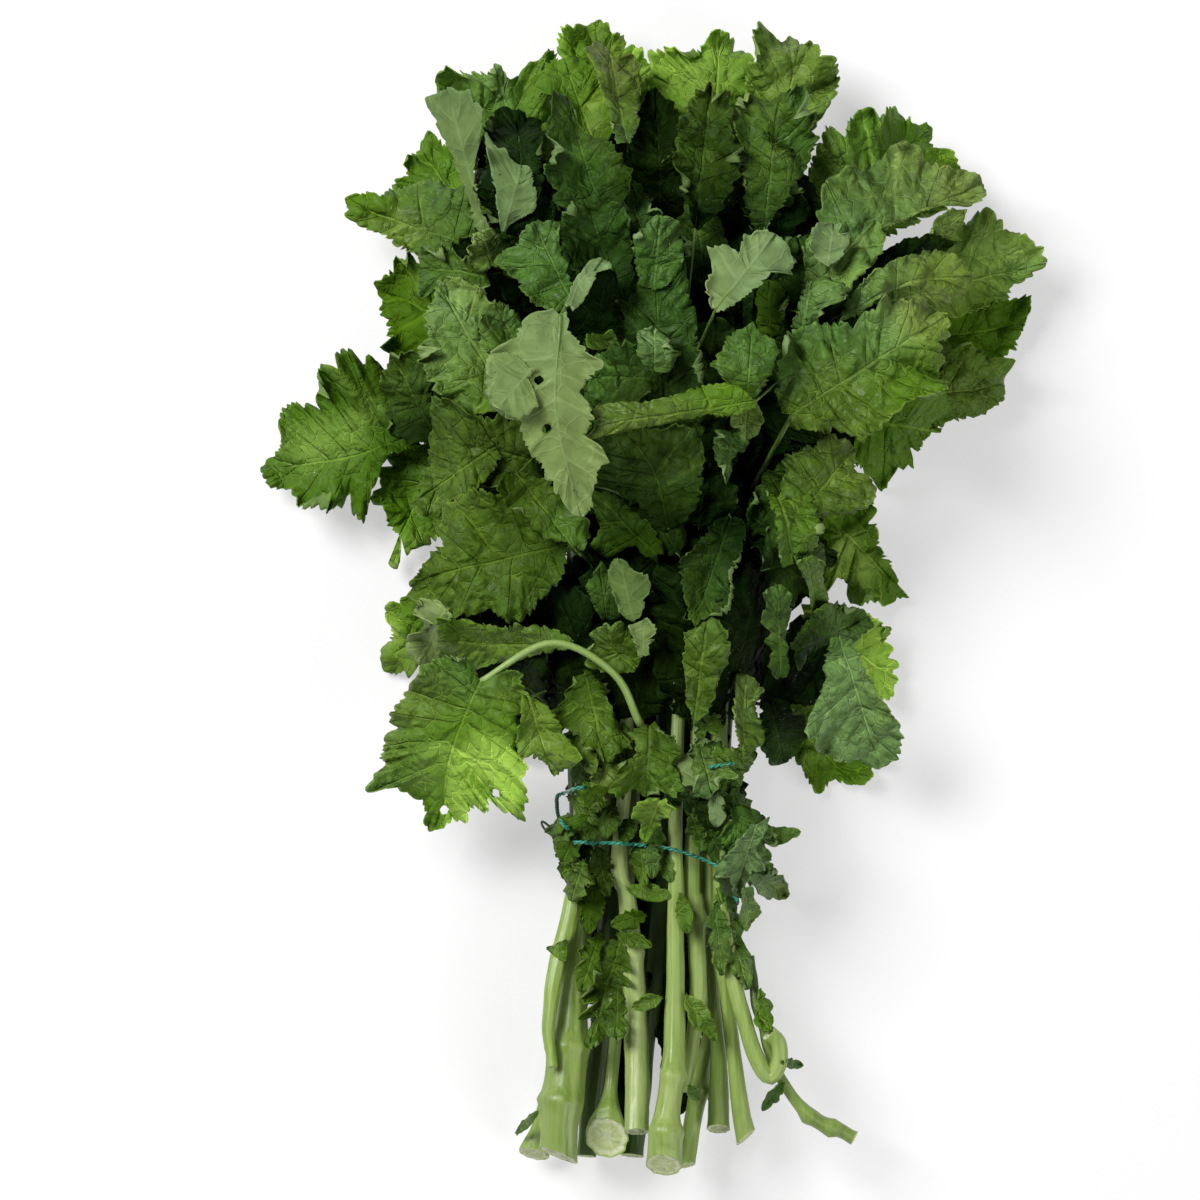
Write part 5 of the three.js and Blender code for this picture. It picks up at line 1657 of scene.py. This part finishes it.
def leafMaterial(name, look):
    pattern = leafPattern
    r = Recipe(name)
    place = r.node("SeparateXYZ", {0: r.attribute("place", "Vector")}).node
    edge = place.outputs[2]
    glow = r.attribute("glow", "Fac")
    patches = r.noise(pattern["patches"], 2)
    mottle = r.noise(pattern["mottle"], 4, 0.6)
    veins, coarse, fine = leafVeins(r, look, place.outputs)
    tone = r.attribute("pale", "Fac")
    tone = r.math("ADD", tone, r.math("MULTIPLY", r.math("SUBTRACT", patches, 0.5), look["patchy"]))
    colour = leafColour(r, look, tone, glow, patches, mottle)
    veinShow = r.step(glow, 0.0, 0.8, look["veinShow"], 0.9)
    colour = r.mix(r.math("MULTIPLY", veins, veinShow), colour, r.tint(colour, look["veinLight"]))
    # painted highlight: the thin rim of the blade is lighter, as where the margin catches the light
    colour = r.mix(r.step(edge, 0.94, 0.99, 0.0, 0.42), colour, r.tint(colour, look["veinLight"]))
    # small drops of water, and wet places
    drops = r.node("TexVoronoi", {"Vector": r.where(), "Scale": pattern["drops"]}, "Distance")
    wet = r.step(r.noise(pattern["wetPlaces"], 2), 0.46, 0.58)
    drop = r.math("MULTIPLY", r.step(drops, 0.08, 0.2, look["wet"], 0.0), wet)
    rough = r.step(r.noise(pattern["sheen"], 3), 0.3, 0.7, *look["rough"])
    rough = r.math("SUBTRACT", rough, r.math("MULTIPLY", drop, 0.28))
    height = r.math("MULTIPLY", veins, look["veinRise"])
    height = r.math("ADD", height, r.math("MULTIPLY", r.step(coarse, 0.0, 0.35), look["netRise"]))
    height = r.math("ADD", height, r.math("MULTIPLY", r.step(fine, 0.0, 0.3), look["netRise"] * 0.25))
    height = r.math("ADD", height, r.math("MULTIPLY", mottle, 0.12))
    height = r.math("ADD", height, r.math("MULTIPLY", drop, 0.6))
    normal = r.bump(height, pattern["bumpDepth"])
    gloss = r.step(tone, -0.9, 0.1, look["gloss"] * 0.08, look["gloss"])
    gloss = r.math("MULTIPLY", gloss, r.step(glow, 0.2, 0.9, 1.0, 0.35))
    gloss = r.math("ADD", gloss, drop)
    skin = {"Base Color": colour, "Roughness": rough, "Normal": normal, "Specular IOR Level": gloss}
    skin = r.node("BsdfPrincipled", skin)
    through = r.node("BsdfTranslucent", {"Color": r.tint(colour, look["through"]), "Normal": normal})
    return r.finish(r.node("MixShader", {0: r.step(glow, 0.0, 1.0, 0.08, 0.3), 1: skin, 2: through}))


leafTop = leafMaterial(
    "leaf_top",
    dict(
        # painted shade: dark is the near black of the leaves deep in the bunch, at pale -1
        dark=(0.006, 0.016, 0.002),
        middle=(0.062, 0.128, 0.0135),
        light=(0.16, 0.238, 0.06),
        glowDark=(0.107, 0.247, 0.006),
        glow=(0.43, 0.65, 0.1),
        veinShow=0.75,
        veinLight=(2.2, 1.9, 2.5),
        through=(1.6, 1.9, 0.7),
        net=125.0,
        patchy=0.9,
        mottle=(0.72, 1.4),
        yellower=(1.12, 1.02, 0.75),
        bluer=(0.83, 0.99, 1.12),
        netRise=0.8,
        veinRise=-0.7,
        wet=1.0,
        rough=(0.38, 0.6),
        gloss=0.22,
    ),
)
leafUnder = leafMaterial(
    "leaf_underside",
    dict(
        dark=(0.07, 0.12, 0.028),
        middle=(0.182, 0.264, 0.088),
        light=(0.24, 0.335, 0.11),
        glowDark=(0.17, 0.28, 0.05),
        glow=(0.24, 0.38, 0.08),
        veinShow=0.8,
        veinLight=(1.45, 1.4, 1.6),
        through=(1.2, 1.4, 0.6),
        net=90.0,
        patchy=0.35,
        mottle=(0.9, 1.14),
        yellower=(1.04, 1.01, 0.9),
        bluer=(0.95, 1.0, 1.08),
        netRise=-0.1,
        veinRise=0.2,
        wet=0.3,
        rough=(0.48, 0.68),
        gloss=0.2,
    ),
)


def stemMaterial(name, look):
    r = Recipe(name)
    glow = r.attribute("glow", "Fac")
    streaks = r.noise(1.0, 3, 0.6, r.where(420, 14, 420))  # long and thin, down the bunch
    patches = r.noise(40, 3)
    fine = r.noise(600, 3)
    colour = r.mix(r.step(streaks, 0.3, 0.7), look["dark"], look["light"])
    colour = r.mix(r.step(patches, 0.45, 0.75, 0.0, 0.5), colour, look["blush"])
    # on a stalk the glow attribute is its share of the length, towards the darker upper green; on a
    # petiole it is its leaf's painted backlight, towards a lighter upper green
    colour = r.mix(r.step(glow, 0.45, 0.9, 0.0, look["greener"]), colour, look["upper"])
    pale = r.attribute("pale", "Fac")
    # painted shade: below pale 0 the colour goes to deep, the dark green of a stalk deep in the bunch
    colour = r.mix(r.step(pale, -1.0, 0.0, 1.0, 0.0), colour, look["deep"])
    colour = r.mix(r.step(pale, 0.0, 1.0), colour, look["whitish"])
    height = r.math("ADD", r.math("MULTIPLY", streaks, 1.0), r.math("MULTIPLY", fine, 0.15))
    rough = r.step(streaks, 0.3, 0.7, 0.34, 0.52)
    skin = {
        "Base Color": colour,
        "Roughness": rough,
        "Normal": r.bump(height, 0.0005, 0.6),
        "Subsurface Weight": look["soft"],
        "Subsurface Radius": (0.004, 0.006, 0.002),
        "Subsurface Scale": 0.4,
    }
    return r.finish(r.node("BsdfPrincipled", skin))


stalkSkin = stemMaterial(
    "stalk_skin",
    dict(
        dark=(0.185, 0.288, 0.046),
        light=(0.288, 0.39, 0.092),
        blush=(0.325, 0.42, 0.13),
        upper=(0.06, 0.12, 0.018),
        deep=(0.035, 0.075, 0.008),
        whitish=(0.42, 0.5, 0.222),
        greener=0.95,
        soft=0.12,
    ),
)
petioleSkin = stemMaterial(
    "petiole_skin",
    dict(
        dark=(0.1, 0.19, 0.03),
        light=(0.17, 0.28, 0.055),
        blush=(0.2, 0.31, 0.075),
        upper=(0.22, 0.36, 0.05),
        deep=(0.02, 0.045, 0.005),
        whitish=(0.26, 0.37, 0.11),
        greener=0.6,
        soft=0.08,
    ),
)

# from the middle of a cut to its rim, and the small dark specks all over it
cutColours = dict(
    pith=(0.6, 0.66, 0.38),
    flesh=(0.5, 0.58, 0.26),
    ring=(0.66, 0.7, 0.45),
    rind=(0.3, 0.42, 0.1),
    specks=(0.36, 0.44, 0.16),
)


def cutMaterial():
    look = cutColours
    r = Recipe("cut_face")
    place = r.node("SeparateXYZ", {0: r.attribute("place", "Vector")}).node
    uneven = r.math("MULTIPLY", r.math("SUBTRACT", r.noise(260, 3), 0.5), 0.22)
    uneven = r.math("ADD", place.outputs[2], uneven)
    colour = r.mix(r.step(uneven, 0.2, 0.62), look["pith"], look["flesh"])
    colour = r.mix(r.step(uneven, 0.66, 0.76), colour, look["ring"])
    colour = r.mix(r.step(uneven, 0.88, 0.98), colour, look["rind"])
    colour = r.mix(r.step(r.noise(900, 4), 0.45, 0.8, 0.0, 0.45), colour, look["specks"])
    height = r.math("ADD", r.noise(700, 4, 0.7), r.math("MULTIPLY", r.noise(160, 2), 1.5))
    face = {
        "Base Color": colour,
        "Roughness": r.step(r.noise(300), 0.3, 0.7, 0.35, 0.6),
        "Normal": r.bump(height, 0.0007, 0.7),
        "Subsurface Weight": 0.2,
        "Subsurface Radius": (0.004, 0.005, 0.002),
        "Subsurface Scale": 0.4,
    }
    return r.finish(r.node("BsdfPrincipled", face))


def plainMaterial(name, dark, light, scale, rough, depth):
    r = Recipe(name)
    grain = r.noise(scale, 4, 0.6)
    skin = {
        "Base Color": r.mix(r.step(grain, 0.3, 0.7), dark, light),
        "Roughness": r.step(grain, 0.3, 0.7, rough - 0.08, rough + 0.08),
        "Normal": r.bump(grain, depth, 0.6),
    }
    return r.finish(r.node("BsdfPrincipled", skin))


cutFace = cutMaterial()
tieSkin = plainMaterial(
    "tie_skin", dark=(0.015, 0.16, 0.1), light=(0.05, 0.3, 0.2), scale=900, rough=0.3, depth=0.0001
)
tieEnd = plainMaterial(
    "tie_end", dark=(0.2, 0.3, 0.22), light=(0.35, 0.45, 0.36), scale=700, rough=0.25, depth=0.0001
)
budSkin = plainMaterial(
    "bud_skin", dark=(0.14, 0.25, 0.03), light=(0.26, 0.4, 0.06), scale=500, rough=0.5, depth=0.0003
)
petalSkin = plainMaterial(
    "petal_skin", dark=(0.5, 0.46, 0.01), light=(0.68, 0.62, 0.04), scale=300, rough=0.5, depth=0.0002
)


# Building, from the floor up
pieces = []
for k, (name, leaf) in enumerate(lowerLeaves.items()):
    pieces.append(makeLeaf(name + "_blade", leaf, seed=100 + k, node=name))
print("lower leaves:", len(pieces))
# painted shade: these leaves are near black, at pale -1
paintedShadeLeaf = dict(pale=-1, step=1.6)
for k, leaf in enumerate(underLeaves):
    pieces.append(makeLeaf(f"under_dark_leaf_{k + 1}", leaf | paintedShadeLeaf, seed=350 + k))
for k, (name, stalk) in enumerate(stalks.items()):
    pieces.append(makeStalk(name, stalk, seed=200 + k))
stalkTop = softPile(0, 1)
print("stalks:", len(stalks))
for k, leaf in enumerate(innerLeaves):
    pieces.append(makeLeaf(f"inner_dark_leaf_{k + 1}", leaf | paintedShadeLeaf, seed=300 + k))
# painted backlight: the leaflets glow a little, yellow-green
leafletGlow = dict(glow=0.3, step=1.2)
for k, leaf in enumerate(leaflets):
    pieces.append(makeLeaf(f"leaflet_{k + 1}", leafletGlow | leaf, seed=400 + k))
for k in range(fillLook["count"]):
    pieces.append(makeFill(k))
for k, place in enumerate(scrapPlaces()):
    pieces.append(makeScrap(k, *place))
pieces.append(makeTie(stalkTop))
print("leaflets, scraps and tie")
for k, (name, leaf) in enumerate(upperLeaves.items()):
    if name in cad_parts:
        pieces.append(makeLeaf(name + "_blade", leaf, seed=500 + k, node=name))
    else:
        pieces.append(makeLeaf(name, leaf, seed=500 + k))
pieces.append(makeBud())
triangles = sum(len(face.vertices) - 2 for piece in pieces for face in piece.data.polygons)
print("pieces:", len(pieces), "triangles:", triangles)


# Floor, lamps and camera, in metres
studio = dict(
    middle=Vector((-0.0208, -0.0066, 0.06)),  # what the lamps and the camera point at
    floorHalf=4,
    paper=(0.9, 0.9, 0.9),
    keyLamp=dict(place=(-0.9, 0.6, 1.5), size=0.8, power=38.5),
    fillLamp=dict(place=(1.2, -0.9, 1.3), size=1.0, power=14),
    roomLight=0.14,
    elevation=86,  # degrees
    away=1.6,
    lens=129.5,
)


def makeFloor():
    half = studio["floorHalf"]
    mesh = bpy.data.meshes.new("floor")
    corners = [(-half, -half, 0), (half, -half, 0), (half, half, 0), (-half, half, 0)]
    mesh.from_pydata(corners, [], [(0, 1, 2, 3)])
    floor = bpy.data.objects.new("floor", mesh)
    bpy.context.scene.collection.objects.link(floor)
    # the paper keeps its shadow and looks as bright as the background
    r = Recipe("white_paper")
    paper = r.node("BsdfDiffuse", {"Color": studio["paper"]})
    shown = r.node("Emission", {"Color": (1, 1, 1), "Strength": 1.0})
    rays = r.node("LightPath", {}).node
    seen = r.math("MAXIMUM", rays.outputs["Is Camera Ray"], rays.outputs["Is Glossy Ray"])
    both = r.node("MixShader", {0: r.math("MULTIPLY", seen, 0.5), 1: paper, 2: shown})
    mesh.materials.append(r.finish(both))


# a lamp or the camera at its place, pointed at the middle of the bunch
def mount(name, data, place):
    holder = bpy.data.objects.new(name, data)
    holder.location = place
    holder.rotation_euler = (studio["middle"] - holder.location).to_track_quat("-Z", "Y").to_euler()
    bpy.context.scene.collection.objects.link(holder)
    return holder


def addLamp(name, place, size, power):
    lamp = bpy.data.lights.new(name, "AREA")
    lamp.size = size
    lamp.energy = power
    mount(name, lamp, place)


makeFloor()
addLamp("key", **studio["keyLamp"])
addLamp("fill", **studio["fillLamp"])

world = bpy.data.worlds.new("studio")
world.use_nodes = True
world.node_tree.nodes["Background"].inputs["Color"].default_value = (1, 1, 1, 1)
world.node_tree.nodes["Background"].inputs["Strength"].default_value = studio["roomLight"]
bpy.context.scene.world = world
bpy.context.scene.view_settings.view_transform = "Standard"

camera = bpy.data.cameras.new("camera")
camera.sensor_width = 36
camera.lens = studio["lens"]
elevation = math.radians(studio["elevation"])
place = studio["middle"] + studio["away"] * Vector((0, -math.cos(elevation), math.sin(elevation)))
bpy.context.scene.camera = mount("camera", camera, place)
